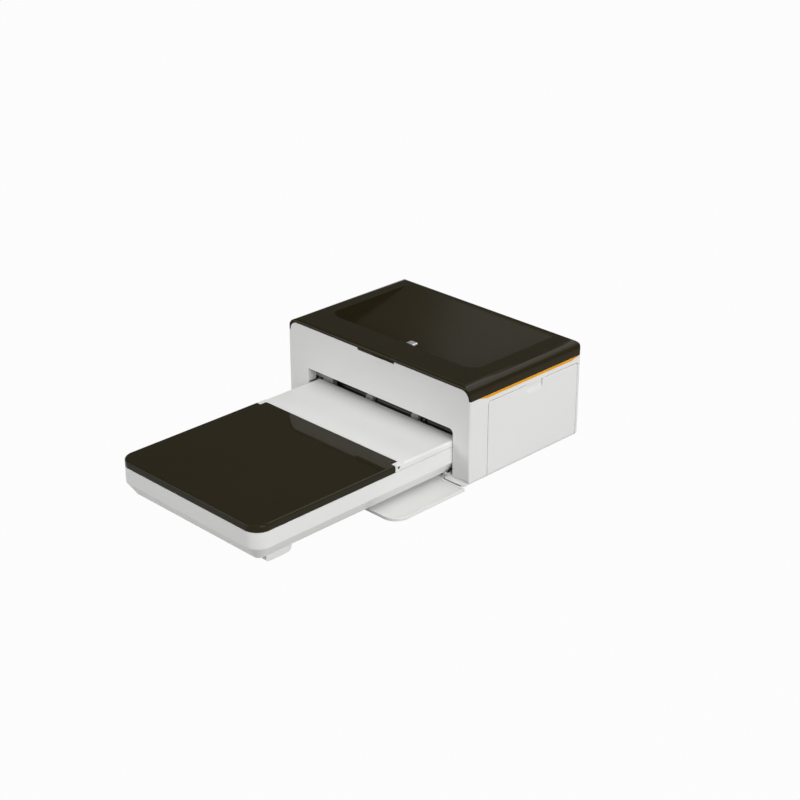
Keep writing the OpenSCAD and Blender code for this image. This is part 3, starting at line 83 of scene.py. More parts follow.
class PrinterColours(bpy.types.PropertyGroup):
    """Base colours of the printer's finishes, as linear values."""

    shell: bpy.props.FloatVectorProperty(
        name="Shell", description="Off-white moulded shells", subtype="COLOR",
        size=3, min=0, max=1, default=(0.80, 0.80, 0.785))
    lid: bpy.props.FloatVectorProperty(
        name="Lid", description="Glossy olive black of the lid and the tray cover", subtype="COLOR",
        size=3, min=0, max=1, default=(0.0215, 0.0172, 0.0076))
    accent: bpy.props.FloatVectorProperty(
        name="Accent strips", description="Amber strips under the lid", subtype="COLOR",
        size=3, min=0, max=1, default=(0.84, 0.36, 0.004))
    charcoal: bpy.props.FloatVectorProperty(
        name="Charcoal", description="Dark plastic of the small fittings", subtype="COLOR",
        size=3, min=0, max=1, default=(0.030, 0.030, 0.033))
    grey: bpy.props.FloatVectorProperty(
        name="Grey", description="Grey plastic of guides and spools", subtype="COLOR",
        size=3, min=0, max=1, default=(0.30, 0.30, 0.29))
    gear: bpy.props.FloatVectorProperty(
        name="Gears", description="Natural acetal of the gears", subtype="COLOR",
        size=3, min=0, max=1, default=(0.80, 0.78, 0.70))
    board: bpy.props.FloatVectorProperty(
        name="Circuit board", description="Solder resist of the main board", subtype="COLOR",
        size=3, min=0, max=1, default=(0.012, 0.10, 0.035))
    film: bpy.props.FloatVectorProperty(
        name="Ribbon film", description="Dye layer of the ribbon", subtype="COLOR",
        size=3, min=0, max=1, default=(0.16, 0.020, 0.035))


class PrinterSizes(bpy.types.PropertyGroup):
    """Small sizes that the dressing adds to the solids."""

    shell_edge: bpy.props.FloatProperty(
        name="Shell edge", description="Radius worn onto the edges of the white shells",
        default=0.30 * MM, min=0, max=1 * MM, unit="LENGTH")
    lid_edge: bpy.props.FloatProperty(
        name="Lid edge", description="Radius on the edges of the glossy black parts",
        default=0.15 * MM, min=0, max=1 * MM, unit="LENGTH")
    fine_edge: bpy.props.FloatProperty(
        name="Fine edge", description="Radius on the edges of small fittings",
        default=0.12 * MM, min=0, max=0.5 * MM, unit="LENGTH")
    exit_side: bpy.props.FloatProperty(
        name="Exit side", description="Free width of the print exit past the paper's path at its left",
        default=4.6 * MM, min=0, max=8 * MM, unit="LENGTH")
    wire: bpy.props.FloatProperty(
        name="Spring wire", description="Diameter of the lift spring's wire",
        default=0.7 * MM, min=0.3 * MM, max=1 * MM, unit="LENGTH")


class PrinterStudio(bpy.types.PropertyGroup):
    """Camera and light of the studio."""

    focal_length: bpy.props.FloatProperty(
        name="Focal length", description="Focal length of the camera in millimetres",
        default=80, min=20, max=200, unit="CAMERA")
    floor_radius: bpy.props.FloatProperty(
        name="Floor radius", description="Radius of the round studio floor",
        default=6, min=2, max=20, unit="LENGTH")
    wall_height: bpy.props.FloatProperty(
        name="Wall height", description="Height of the wall round the studio floor",
        default=1.5, min=0.5, max=5, unit="LENGTH")
    ambient: bpy.props.FloatProperty(
        name="Ambient light", description="Strength of the light from the room",
        default=0.13, min=0, max=1)


# ---------------------------------------------------------------- mesh helpers


def only(piece):
    """Makes one object the whole selection and the active object."""
    bpy.ops.object.select_all(action="DESELECT")
    piece.hide_set(False)
    piece.select_set(True)
    bpy.context.view_layer.objects.active = piece
    return piece


def copy_of(node, name):
    """A welded copy of a CAD node with its flat regions dissolved into single faces."""
    piece = bpy.data.objects.new(name, frame["nodes"][node].data.copy())
    bpy.context.scene.collection.objects.link(piece)
    piece.data.materials.clear()
    only(piece)
    bpy.ops.object.mode_set(mode="EDIT")
    bpy.ops.mesh.select_all(action="SELECT")
    bpy.ops.mesh.remove_doubles(threshold=WELD)
    bpy.ops.mesh.dissolve_limited(angle_limit=FLAT)
    bpy.ops.object.mode_set(mode="OBJECT")
    return piece


def roomy_edges(mesh, width, angle):
    """Sharp edges with room for a rounding: between wide surfaces, away from needle-thin corners."""
    sharp_angle = math.radians(angle)
    faces_of = {}
    for face in mesh.polygons:
        for key in face.edge_keys:
            faces_of.setdefault(key, []).append(face.index)
    surface = list(range(len(mesh.polygons)))

    def root(index):
        while surface[index] != index:
            surface[index] = surface[surface[index]]
            index = surface[index]
        return index

    sharp = {}
    for edge in mesh.edges:
        pair = faces_of.get(tuple(sorted(edge.vertices)), ())
        if len(pair) != 2:
            continue
        first, second = (mesh.polygons[index].normal for index in pair)
        if first.angle(second, 0.0) > sharp_angle:
            sharp[tuple(sorted(edge.vertices))] = edge.index
        else:
            surface[root(pair[0])] = root(pair[1])
    area, border, opening, squeezed = {}, {}, {}, set()
    for face in mesh.polygons:
        own = root(face.index)
        area[own] = area.get(own, 0.0) + face.area
        corners = list(face.vertices)
        for at, corner in enumerate(corners):
            here = mesh.vertices[corner].co
            before = mesh.vertices[corners[at - 1]].co - here
            after = mesh.vertices[corners[(at + 1) % len(corners)]].co - here
            bend = before.angle(after, 0.0)
            if before.cross(after).dot(face.normal) > 0:
                bend = 2 * math.pi - bend
            opening[corner, own] = opening.get((corner, own), 0.0) + bend
            if bend < THIN_FACE:
                squeezed.add(tuple(sorted((corner, corners[at - 1]))))
                squeezed.add(tuple(sorted((corner, corners[(at + 1) % len(corners)]))))
        for key in face.edge_keys:
            if key in sharp:
                length = (mesh.vertices[key[0]].co - mesh.vertices[key[1]].co).length
                border[own] = border.get(own, 0.0) + length
    kept = []
    for key, index in sharp.items():
        sides = [root(face) for face in faces_of[key]]
        narrow = any(2 * area[own] < ROOM * width * border[own] for own in sides)
        needle = any(opening[corner, own] < THIN_CORNER for corner in key for own in sides)
        if not narrow and not needle and key not in squeezed:
            kept.append(index)
    return kept


def flatten(piece, axis, limit, side):
    """Presses vertices that stand out past a plane across an axis back onto it."""
    only(piece)
    slack = 0.001 * MM
    strays = [vertex.index for vertex in piece.data.vertices if (vertex.co[axis] - limit) * side > slack]
    if not strays:
        return
    bpy.ops.object.mode_set(mode="EDIT")
    bpy.ops.mesh.select_mode(type="VERT")
    bpy.ops.mesh.select_all(action="DESELECT")
    bpy.ops.object.mode_set(mode="OBJECT")
    for index in strays:
        piece.data.vertices[index].select = True
    bpy.ops.object.mode_set(mode="EDIT")
    bpy.ops.transform.resize(value=[0 if at == axis else 1 for at in range(3)],
                             center_override=[limit if at == axis else 0 for at in range(3)])
    bpy.ops.object.mode_set(mode="OBJECT")


def round_edges(piece, width, segments=2, angle=SHARP):
    """Rounds the sharp edges that have room for it and smooths the rest."""
    only(piece)
    bpy.ops.object.mode_set(mode="EDIT")
    bpy.ops.mesh.select_mode(type="EDGE")
    bpy.ops.mesh.select_all(action="DESELECT")
    bpy.ops.object.mode_set(mode="OBJECT")
    for index in roomy_edges(piece.data, width, angle):
        piece.data.edges[index].select = True
    bpy.ops.object.mode_set(mode="EDIT")
    low = Vector(min(corner[axis] for corner in piece.bound_box) for axis in range(3))
    high = Vector(max(corner[axis] for corner in piece.bound_box) for axis in range(3))
    bpy.ops.mesh.bevel(offset=width, segments=segments, clamp_overlap=False, loop_slide=True,
                       miter_outer="ARC")
    bpy.ops.object.mode_set(mode="OBJECT")
    for axis in range(3):
        for limit, side in ((low, -1), (high, 1)):
            flatten(piece, axis, limit[axis], side)
    bpy.ops.object.shade_smooth_by_angle(angle=math.radians(angle))
    flat = piece.modifiers.new("flats", "WEIGHTED_NORMAL")
    flat.keep_sharp = True
    flat.weight = 50
    bpy.ops.object.modifier_apply(modifier=flat.name)
    return piece


def settle(piece, body, finish, replaces=()):
    """Gives a piece its finish and its CAD body, and lets it stand for CAD nodes."""
    piece.data.materials.clear()
    piece.data.materials.append(finish)
    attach(piece, body)
    if replaces:
        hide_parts(*replaces)
    return piece


def body_of(node):
    """Name of the CAD body that a node belongs to."""
    for body, nodes in frame["record"]["behaviour"]["bodies"].items():
        if node in nodes:
            return body
    raise RuntimeError("no body holds " + node)


# ---------------------------------------------------------------- finishes


class Recipe:
    """One material under construction: a Principled shader and its texture nodes."""

    def __init__(self, name):
        self.material = bpy.data.materials.new(name)
        self.material.use_nodes = True
        self.tree = self.material.node_tree
        self.shader = self.tree.nodes["Principled BSDF"]
        self.coords = self.add("ShaderNodeTexCoord")
        self.bump = None

    def add(self, kind, **values):
        """A node, with its inputs set by name and its properties by attribute."""
        made = self.tree.nodes.new(kind)
        for key, value in values.items():
            if key in made.inputs:
                made.inputs[key].default_value = value
            else:
                setattr(made, key, value)
        return made

    def link(self, source, target):
        """Joins an output to an input."""
        self.tree.links.new(source, target)

    def compute(self, operation, *values):
        """A Math node on numbers and other nodes' outputs."""
        made = self.add("ShaderNodeMath", operation=operation)
        for value, target in zip(values, made.inputs):
            if isinstance(value, bpy.types.NodeSocket):
                self.link(value, target)
            else:
                target.default_value = value
        return made.outputs[0]

    def along(self, axis):
        """The Object coordinate along an axis."""
        split = self.add("ShaderNodeSeparateXYZ")
        self.link(self.coords.outputs["Object"], split.inputs[0])
        return split.outputs[axis]

    def noise(self, scale, detail=2.0, stretch=None):
        """Noise on Object coordinates, stretched along an axis where asked."""
        texture = self.add("ShaderNodeTexNoise", Scale=scale, Detail=detail)
        source = self.coords.outputs["Object"]
        if stretch is not None:
            mapping = self.add("ShaderNodeMapping")
            mapping.inputs["Scale"].default_value = stretch
            self.link(source, mapping.inputs["Vector"])
            source = mapping.outputs["Vector"]
        self.link(source, texture.inputs["Vector"])
        return texture.outputs["Fac"]

    def spread(self, source, low, high, start=0.3, end=0.7):
        """Maps a texture's middle range onto the values from low to high."""
        ranged = self.add("ShaderNodeMapRange")
        for key, value in zip(("From Min", "From Max", "To Min", "To Max"), (start, end, low, high)):
            ranged.inputs[key].default_value = value
        self.link(source, ranged.inputs["Value"])
        return ranged.outputs["Result"]

    def blend(self, source, first, second):
        """A colour that runs from first to second with a texture."""
        mix = self.add("ShaderNodeMix", data_type="RGBA")
        mix.inputs[MIX_FIRST].default_value = (*first, 1)
        mix.inputs[MIX_SECOND].default_value = (*second, 1)
        self.link(source, mix.inputs[0])
        return mix.outputs[MIX_RESULT]

    def colour(self, source):
        """Takes the base colour from a node's output."""
        self.link(source, self.shader.inputs["Base Color"])

    def roughness(self, source, low, high):
        """Lets the roughness run from low to high with a texture."""
        self.link(self.spread(source, low, high), self.shader.inputs["Roughness"])

    def relief(self, source, distance, strength=1.0):
        """Adds a bump layer on top of those already there."""
        layer = self.add("ShaderNodeBump", Strength=strength, Distance=distance)
        self.link(source, layer.inputs["Height"])
        if self.bump is not None:
            self.link(self.bump.outputs["Normal"], layer.inputs["Normal"])
        self.bump = layer
        self.link(layer.outputs["Normal"], self.shader.inputs["Normal"])

    def gloss(self, specular=0.5, metallic=0.0, anisotropic=0.0):
        """Constants of the shader, set on its own sockets."""
        self.shader.inputs["Specular IOR Level"].default_value = specular
        self.shader.inputs["Metallic"].default_value = metallic
        self.shader.inputs["Anisotropic"].default_value = anisotropic


def scaled(colour, factor):
    """A colour made lighter or darker by a factor."""
    return tuple(min(1.0, part * factor) for part in colour)


def moulded(name, colour, rough, grain=2600.0, depth=0.010 * MM, drift=0.035, specular=0.5):
    """Moulded plastic: fine eroded grain, with slow drift of tone and gloss."""
    made = Recipe(name)
    slow = made.noise(14.0, 3.0)
    made.colour(made.blend(made.spread(slow, 0, 1), scaled(colour, 1 - drift), scaled(colour, 1 + drift)))
    made.roughness(made.noise(90.0, 4.0), rough - 0.03, rough + 0.03)
    made.relief(made.noise(grain, 2.0), depth, 0.5)
    made.gloss(specular)
    return made.material


def polished(name, colour, rough, rise=0.0):
    """High-gloss moulding: soft flow waviness, faint hairlines, and a slight slope along Y."""
    made = Recipe(name)
    slow = made.noise(9.0, 2.0)
    made.colour(made.blend(made.spread(slow, 0, 1), scaled(colour, 0.95), scaled(colour, 1.05)))
    made.roughness(made.noise(60.0, 6.0, (1.0, 14.0, 1.0)), rough - 0.03, rough + 0.03)
    if rise:
        made.relief(made.along(1), rise)
    made.relief(made.noise(55.0, 1.0), 0.004 * MM, 0.4)
    made.gloss(0.09)
    return made.material


def metal(name, colour, rough, stretch, depth=0.006 * MM):
    """Rolled or turned metal with fine lines along its working direction."""
    made = Recipe(name)
    lines = made.noise(1.0, 6.0, stretch)
    made.colour(made.blend(made.spread(lines, 0, 1), scaled(colour, 0.86), scaled(colour, 1.08)))
    made.roughness(made.noise(120.0, 3.0), rough - 0.05, rough + 0.08)
    made.relief(lines, depth, 0.6)
    made.gloss(0.5, metallic=1.0, anisotropic=0.3)
    return made.material


def rubber(name, colour):
    """Moulded rubber: matt, with a coarse dry grain and pale dust in it."""
    made = Recipe(name)
    dust = made.noise(700.0, 5.0)
    made.colour(made.blend(made.spread(dust, 0, 1), scaled(colour, 0.85), scaled(colour, 1.45)))
    made.roughness(made.noise(300.0, 3.0), 0.72, 0.9)
    made.relief(made.noise(1500.0, 3.0), 0.03 * MM, 0.7)
    made.gloss(0.3)
    return made.material


def circuit(name, colour):
    """Solder resist over copper tracks, with plated holes."""
    made = Recipe(name)
    tracks = made.add("ShaderNodeTexBrick", Scale=1.0)
    tracks.inputs["Brick Width"].default_value = 6.5 * MM
    tracks.inputs["Row Height"].default_value = 1.1 * MM
    tracks.inputs["Mortar Size"].default_value = 0.16 * MM
    tracks.inputs["Color1"].default_value = (0.2, 0.2, 0.2, 1)
    tracks.inputs["Color2"].default_value = (0.6, 0.6, 0.6, 1)
    tracks.inputs["Mortar"].default_value = (1, 1, 1, 1)
    made.link(made.coords.outputs["Object"], tracks.inputs["Vector"])
    shade = made.blend(tracks.outputs["Color"], scaled(colour, 0.8), scaled(colour, 1.7))
    holes = made.add("ShaderNodeTexVoronoi", Scale=260.0)
    made.link(made.coords.outputs["Object"], holes.inputs["Vector"])
    plated = made.add("ShaderNodeMix", data_type="RGBA")
    plated.inputs[MIX_FIRST].default_value = (0.55, 0.38, 0.12, 1)
    made.link(made.spread(holes.outputs["Distance"], 0, 1, 0.12, 0.16), plated.inputs[0])
    made.link(shade, plated.inputs[MIX_SECOND])
    made.colour(plated.outputs[MIX_RESULT])
    made.roughness(made.noise(200.0), 0.28, 0.4)
    made.relief(tracks.outputs["Fac"], 0.02 * MM, 0.6)
    made.gloss(0.5)
    return made.material


def sheets(name, colour):
    """A stack of coated paper: fibre in the faces, sheet edges as thin lines up the sides."""
    made = Recipe(name)
    edges = made.add("ShaderNodeTexWave", Scale=1.0, Distortion=1.5, Detail=2.0)
    edges.bands_direction = "Z"
    spacing = made.add("ShaderNodeMapping")
    spacing.inputs["Scale"].default_value = (4, 4, 1250)
    made.link(made.coords.outputs["Object"], spacing.inputs["Vector"])
    made.link(spacing.outputs["Vector"], edges.inputs["Vector"])
    made.colour(made.blend(made.spread(edges.outputs["Fac"], 0, 1, 0.1, 0.9), scaled(colour, 0.86), colour))
    made.roughness(made.noise(400.0, 4.0), 0.42, 0.55)
    made.relief(made.noise(900.0, 5.0), 0.01 * MM, 0.5)
    made.gloss(0.4)
    return made.material


def dye_film(name, colour):
    """Thin dye-coated film: glossy, with the faint edges of its colour panels."""
    made = Recipe(name)
    panels = made.noise(30.0, 1.0, (0.2, 3.0, 3.0))
    made.colour(made.blend(made.spread(panels, 0, 1), scaled(colour, 0.8), scaled(colour, 1.4)))
    made.roughness(made.noise(150.0, 2.0, (1.0, 8.0, 8.0)), 0.16, 0.26)
    made.relief(made.noise(160.0, 2.0, (1.0, 5.0, 5.0)), 0.012 * MM, 0.5)
    made.gloss(0.5)
    return made.material


FINISH = {}


class PRINTER_OT_finishes(bpy.types.Operator):
    """Makes the printer's materials."""

    bl_idname = "printer.finishes"
    bl_label = "Finishes"

    def execute(self, context):
        hue = context.scene.printer_colours
        FINISH.update({
            "shell": moulded("shell_white", tuple(hue.shell), 0.34, drift=0.012),
            "shell_matt": moulded("shell_white_matt", scaled(tuple(hue.shell), 0.97), 0.46, drift=0.015),
            "lid": polished("lid_gloss_black", tuple(hue.lid), 0.14),
            "cover": polished("cover_gloss_black", tuple(hue.lid), 0.05, rise=-0.037),
            "accent": moulded("accent_amber", tuple(hue.accent), 0.40, drift=0.03, specular=0.2),
            "charcoal": moulded("fitting_charcoal", tuple(hue.charcoal), 0.42, depth=0.02 * MM, drift=0.12),
            "grey": moulded("guide_grey", tuple(hue.grey), 0.45, depth=0.02 * MM, drift=0.06),
            "gear": moulded("gear_acetal", tuple(hue.gear), 0.36, drift=0.04),
            "sheet_steel": metal("sheet_steel", (0.56, 0.57, 0.58), 0.34, (60.0, 900.0, 900.0)),
            "turned_steel": metal("turned_steel", (0.60, 0.61, 0.62), 0.18, (2600.0, 40.0, 40.0)),
            "nickel": metal("plug_nickel", (0.62, 0.62, 0.63), 0.34, (900.0, 90.0, 900.0)),
            "blasted": metal("heat_sink", (0.55, 0.55, 0.56), 0.48, (1400.0, 1400.0, 1400.0)),
            "black_rubber": rubber("rubber_black", (0.028, 0.028, 0.028)),
            "grey_rubber": rubber("rubber_grey", (0.40, 0.40, 0.39)),
            "board": circuit("circuit_board", tuple(hue.board)),
            "paper": sheets("paper_stack", (0.86, 0.86, 0.84)),
            "film": dye_film("ribbon_film", tuple(hue.film)),
        })
        return {"FINISHED"}


# ---------------------------------------------------------------- shells


def shell(node, finish, width, segments=2, angle=SHARP):
    """A CAD node's copy with softened edges, which stands for the node."""
    piece = round_edges(copy_of(node, node + "_moulding"), width, segments, angle)
    return settle(piece, body_of(node), FINISH[finish], (node,))


class PRINTER_OT_body_shells(bpy.types.Operator):
    """Softens the white mouldings of the body: housing, panels, door and flap."""

    bl_idname = "printer.body_shells"
    bl_label = "Body shells"

    def execute(self, context):
        edge = context.scene.printer_sizes.shell_edge
        for node in ("housing", "ribbon_door", "front_flap", "rear_panel"):
            shell(node, "shell", edge)
        shell("base_plate", "shell_matt", edge)
        for node in ("accent_strip_right", "accent_strip_left"):
            shell(node, "accent", context.scene.printer_sizes.fine_edge)
        return {"FINISHED"}


class PRINTER_OT_gloss_parts(bpy.types.Operator):
    """Softens the glossy black lid and tray cover."""

    bl_idname = "printer.gloss_parts"
    bl_label = "Lid and tray cover"

    def execute(self, context):
        edge = context.scene.printer_sizes.lid_edge
        shell("top_lid", "lid", edge)
        shell("tray_cover", "cover", edge)
        return {"FINISHED"}


class PRINTER_OT_tray_shells(bpy.types.Operator):
    """Softens the tray, its white plate and its feet."""

    bl_idname = "printer.tray_shells"
    bl_label = "Tray shells"

    def execute(self, context):
        edge = context.scene.printer_sizes.shell_edge
        for node in ("tray_base", "tray_plate", "tray_feet"):
            shell(node, "shell", edge)
        shell("tray_edge_guide", "grey", context.scene.printer_sizes.fine_edge)
        shell("paper_stack", "paper", context.scene.printer_sizes.fine_edge, segments=1)
        return {"FINISHED"}


class PRINTER_OT_fittings(bpy.types.Operator):
    """Softens the small fittings and gives them their finishes."""

    bl_idname = "printer.fittings"
    bl_label = "Fittings"

    def execute(self, context):
        fine = context.scene.printer_sizes.fine_edge
        for node, finish in (
            ("dock_block", "lid"), ("dock_plug", "nickel"), ("power_button", "charcoal"),
            ("rubber_feet", "black_rubber"), ("case_screws", "turned_steel"),
            ("flap_hinge_pins", "turned_steel"), ("tray_hinge_pins", "charcoal"),
            ("lift_plate", "sheet_steel"), ("chassis_left", "sheet_steel"),
            ("chassis_right", "sheet_steel"), ("chassis_tie_bars", "turned_steel"),
            ("pickup_shaft", "charcoal"), ("pickup_rollers", "grey_rubber"),
            ("capstan_roller", "turned_steel"), ("pinch_roller", "turned_steel"),
            ("head_bracket", "sheet_steel"), ("feed_motor", "sheet_steel"),
            ("ribbon_motor", "sheet_steel"), ("ribbon_case", "charcoal"),
        ):
            shell(node, finish, fine)
        for node, finish in (
            ("pickup_gear", "gear"), ("capstan_gear", "gear"), ("idler_gear", "gear"),
            ("takeup_gear", "gear"), ("motor_pinion", "turned_steel"),
            ("ribbon_pinion", "turned_steel"), ("ribbon_film", "film"),
        ):
            shell(node, finish, GEAR_EDGE, segments=1, angle=GEAR_SHARP)
        return {"FINISHED"}


# ---------------------------------------------------------------- pieces of two materials

# Where the second finish begins: heights above a node's underside, and the radius of the inlet's pin.
BOARD_TOP = 5.2 * MM
HEAD_STRIP = 1.4 * MM
USB_TONGUE = 5.4 * MM
INLET_PIN = 1.2 * MM


def two_tone(node, outer, inner, is_inner, width):
    """A softened copy of a CAD node with a second finish on the faces that a test picks."""
    piece = round_edges(copy_of(node, node + "_parts"), width)
    settle(piece, body_of(node), FINISH[outer], (node,))
    piece.data.materials.append(FINISH[inner])
    for face in piece.data.polygons:
        if is_inner(face.center):
            face.material_index = 1
    return piece


def off_axis(point, low, high):
    """Distance of a point from the X-parallel axis through the middle of a box."""
    return math.hypot(point.y - (low.y + high.y) / 2, point.z - (low.z + high.z) / 2)


class PRINTER_OT_mixed_parts(bpy.types.Operator):
    """Gives rollers, spools, board, ports and print head their two finishes each."""

    bl_idname = "printer.mixed_parts"
    bl_label = "Rollers, spools, board and ports"

    def execute(self, context):
        fine = context.scene.printer_sizes.fine_edge
        for node, outer, inner, share in (
            ("platen_roller", "black_rubber", "turned_steel", 0.42),
            ("supply_spool", "film", "grey", 0.66),
            ("takeup_spool", "film", "grey", 0.82),
        ):
            low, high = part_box(node)
            limit = share * (high.z - low.z) / 2
            two_tone(node, outer, inner, lambda c: off_axis(c, low, high) < limit, fine)
        low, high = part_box("main_board")
        copper = low.z + BOARD_TOP
        two_tone("main_board", "board", "charcoal", lambda c: c.z > copper, fine)
        low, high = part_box("print_head")
        strip = low.z + HEAD_STRIP
        two_tone("print_head", "blasted", "charcoal", lambda c: c.z < strip, fine)
        low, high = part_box("dc_jack")
        middle = (low.x + high.x) / 2
        inlet_z = next(row["pos_m"][2] for row in frame["record"]["mounts"]
                       if row["name"] == "power_inlet")
        two_tone("dc_jack", "charcoal", "turned_steel",
                 lambda c: math.hypot(c.x - middle, c.z - inlet_z) < INLET_PIN, fine)
        low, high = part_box("usb_port")
        tongue = low.z + USB_TONGUE
        two_tone("usb_port", "nickel", "charcoal", lambda c: c.z < tongue, fine)
        return {"FINISHED"}


# ---------------------------------------------------------------- lift spring

# Coils of the spring, steps in each, sides of its wire, and the top coil's share of the bottom one's width.
COILS = 5
COIL_STEPS = 24
WIRE_SIDES = 10
COIL_TAPER = 0.55


class PRINTER_OT_lift_spring(bpy.types.Operator):
    """Winds the conical wire spring under the lift plate."""

    bl_idname = "printer.lift_spring"
    bl_label = "Lift spring"

    def execute(self, context):
        wire = context.scene.printer_sizes.wire
        low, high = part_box("lift_spring")
        centre = (low + high) / 2
        radius = (high.x - low.x - wire) / 2
        steps = COILS * COIL_STEPS
        bpy.ops.object.select_all(action="DESELECT")
        bpy.ops.mesh.primitive_circle_add(vertices=WIRE_SIDES, radius=wire / 2, fill_type="NOTHING",
                                          location=(centre.x + radius, centre.y, low.z + wire / 2),
                                          rotation=(math.pi / 2, 0, 0))
        piece = only(context.active_object)
        piece.name = "lift_spring_wire"
        bpy.ops.object.transform_apply(location=True, rotation=True, scale=True)
        bpy.ops.object.mode_set(mode="EDIT")
        bpy.ops.mesh.select_all(action="SELECT")
        rise = (high.z - low.z - wire) / steps
        inwards = (COIL_TAPER - 1) * radius / steps
        turn = 2 * math.pi / COIL_STEPS
        for step in range(1, steps + 1):
            bpy.ops.mesh.extrude_edges_move()
            bpy.ops.transform.rotate(value=turn, orient_axis="Z",
                                     center_override=(centre.x, centre.y, 0))
            bpy.ops.transform.translate(value=(inwards * math.cos(-turn * step),
                                               inwards * math.sin(-turn * step), rise))
        bpy.ops.mesh.select_all(action="DESELECT")
        bpy.ops.mesh.select_non_manifold()
        bpy.ops.mesh.edge_face_add()
        bpy.ops.mesh.select_all(action="SELECT")
        bpy.ops.mesh.normals_make_consistent(inside=False)
        bpy.ops.object.mode_set(mode="OBJECT")
        bpy.ops.object.shade_smooth_by_angle(angle=math.radians(40))
        settle(piece, "tray", FINISH["turned_steel"], ("lift_spring",))
        return {"FINISHED"}


# ---------------------------------------------------------------- print exit

# The fascia's inner face behind the body's front, thickness of the two pieces, gaps to their
# neighbours, and how far the return reaches below and above the mouth.
FASCIA_BACK = 5.3 * MM
CHEEK_WALL = 1.6 * MM
STOP_WALL = 1.3 * MM
STOP_OVERLAP = 1.2 * MM
CHEEK_GAP = 0.2 * MM
GUIDE_GAP = 0.25 * MM
CHEEK_BELOW = 2.4 * MM
CHEEK_ABOVE = 1.2 * MM


def slab(name, low, high, width):
    """A box between two corners with rounded edges."""
    bpy.ops.object.select_all(action="DESELECT")
    middle = [(first + last) / 2 for first, last in zip(low, high)]
    bpy.ops.mesh.primitive_cube_add(size=1, location=middle,
                                    scale=[last - first for first, last in zip(low, high)])
    piece = only(bpy.context.active_object)
    piece.name = name
    bpy.ops.object.transform_apply(location=True, rotation=True, scale=True)
    return round_edges(piece, width, segments=3)


class PRINTER_OT_print_exit(bpy.types.Operator):
    """Closes the left end of the print exit: a return of the fascia and a grey stop beside the guide."""

    bl_idname = "printer.print_exit"
    bl_label = "Print exit"

    def execute(self, context):
        sizes = context.scene.printer_sizes
        mouth_low, mouth_high = next(row["box_m"] for row in frame["record"]["physics"]["openings"]
                                     if row["name"] == "print_exit")
        end = mouth_low[0] - sizes.exit_side
        guide_low, guide_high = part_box("tray_edge_guide")
        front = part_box("housing")[0].y + FASCIA_BACK
        cheek = slab("exit_cheek", (end - CHEEK_WALL, front, mouth_low[2] - CHEEK_BELOW),
                     (end, guide_low.y - CHEEK_GAP, mouth_high[2] + CHEEK_ABOVE), sizes.shell_edge)
        settle(cheek, body_of("housing"), FINISH["shell"])
        stop = slab("exit_stop", (end - STOP_OVERLAP, guide_low.y, mouth_low[2]),
                    (guide_low.x - GUIDE_GAP, guide_low.y + STOP_WALL, guide_high.z), sizes.fine_edge)
        settle(stop, body_of("housing"), FINISH["grey"])
        return {"FINISHED"}


# ---------------------------------------------------------------- studio

# Glow and own colour of the floor and the wall, and how far the floor's footprint of painted shade, where it
# loses its glow under the body, stays inside the body's outline in X and Y.
FLOOR_GLOW, FLOOR_TINT = 0.97, (0.25, 0.25, 0.25)
WALL_GLOW, WALL_TINT = 1.0, (0.86, 0.86, 0.86)
FLOOR_DROP = 0.05 * MM
ROUND_SIDES = 96
SHADE_FOOTPRINT_INSET = (7 * MM, 3 * MM)

# The point that the lights face, then each light's name, place, width, height and watts.
LIGHT_AIM = (0, 0.02, 0.03)
SOFTBOXES = (
    ("softbox_top", (0.5, -0.35, 2.2), 2.2, 2.2, 21),
    ("softbox_right", (2.3, -0.3, 0.9), 1.6, 1.4, 42),
    ("softbox_front", (-1.2, -2.1, 0.95), 1.8, 1.2, 27),
    ("softbox_rear", (-0.2, 1.75, 1.85), 3.4, 0.8, 5),
    ("softbox_rim", (0.05, 1.95, 2.2), 2.5, 0.8, 13),
)

CAMERA_PLACE = (0.7452, -0.6959, 0.5188)
CAMERA_TURN = (math.radians(65), 0, math.radians(45))
SENSOR_WIDTH = 36
CAMERA_REACH = 50


def studio_surface(name, glow, tint, shade_footprint=None):
    """Pale studio paper: seen by the camera and in reflections as white, with painted shade inside a footprint
    under the body, where the glow is taken away and only the dim lit paper with its real shadow shows.
    """
    made = Recipe(name)
    made.colour(made.blend(made.spread(made.noise(3.0), 0, 1), scaled(tint, 0.99), tint))
    made.roughness(made.noise(40.0), 0.85, 0.95)
    made.gloss(0.1)
    path = made.add("ShaderNodeLightPath").outputs
    seen = made.compute("MAXIMUM", path["Is Camera Ray"], path["Is Glossy Ray"])
    seen = made.compute("MAXIMUM", seen, path["Is Transmission Ray"])
    share = made.compute("MULTIPLY", seen, glow)
    # Painted shade under the body: inside the footprint the floor loses its glow, so the camera and reflections
    # see the dim lit paper there, with its real shadow on it.
    if shade_footprint is not None:
        share = made.compute("MULTIPLY", share, outside(made, shade_footprint))
    light = made.add("ShaderNodeEmission", Strength=1.0)
    light.inputs["Color"].default_value = (1, 1, 1, 1)
    mixed = made.add("ShaderNodeMixShader")
    made.link(share, mixed.inputs[0])
    made.link(made.shader.outputs[0], mixed.inputs[1])
    made.link(light.outputs[0], mixed.inputs[2])
    made.link(mixed.outputs[0], made.tree.nodes["Material Output"].inputs["Surface"])
    return made.material


def outside(made, shade_footprint):
    """One outside a rectangle of the floor, given as middle and half size in X and Y, and zero inside, where
    the floor's painted shade lies.
    """
    near = []
    for axis, (middle, half) in enumerate(shade_footprint):
        away = made.compute("ABSOLUTE", made.compute("SUBTRACT", made.along(axis), middle))
        near.append(made.compute("LESS_THAN", away, half))
    return made.compute("SUBTRACT", 1.0, made.compute("MULTIPLY", *near))


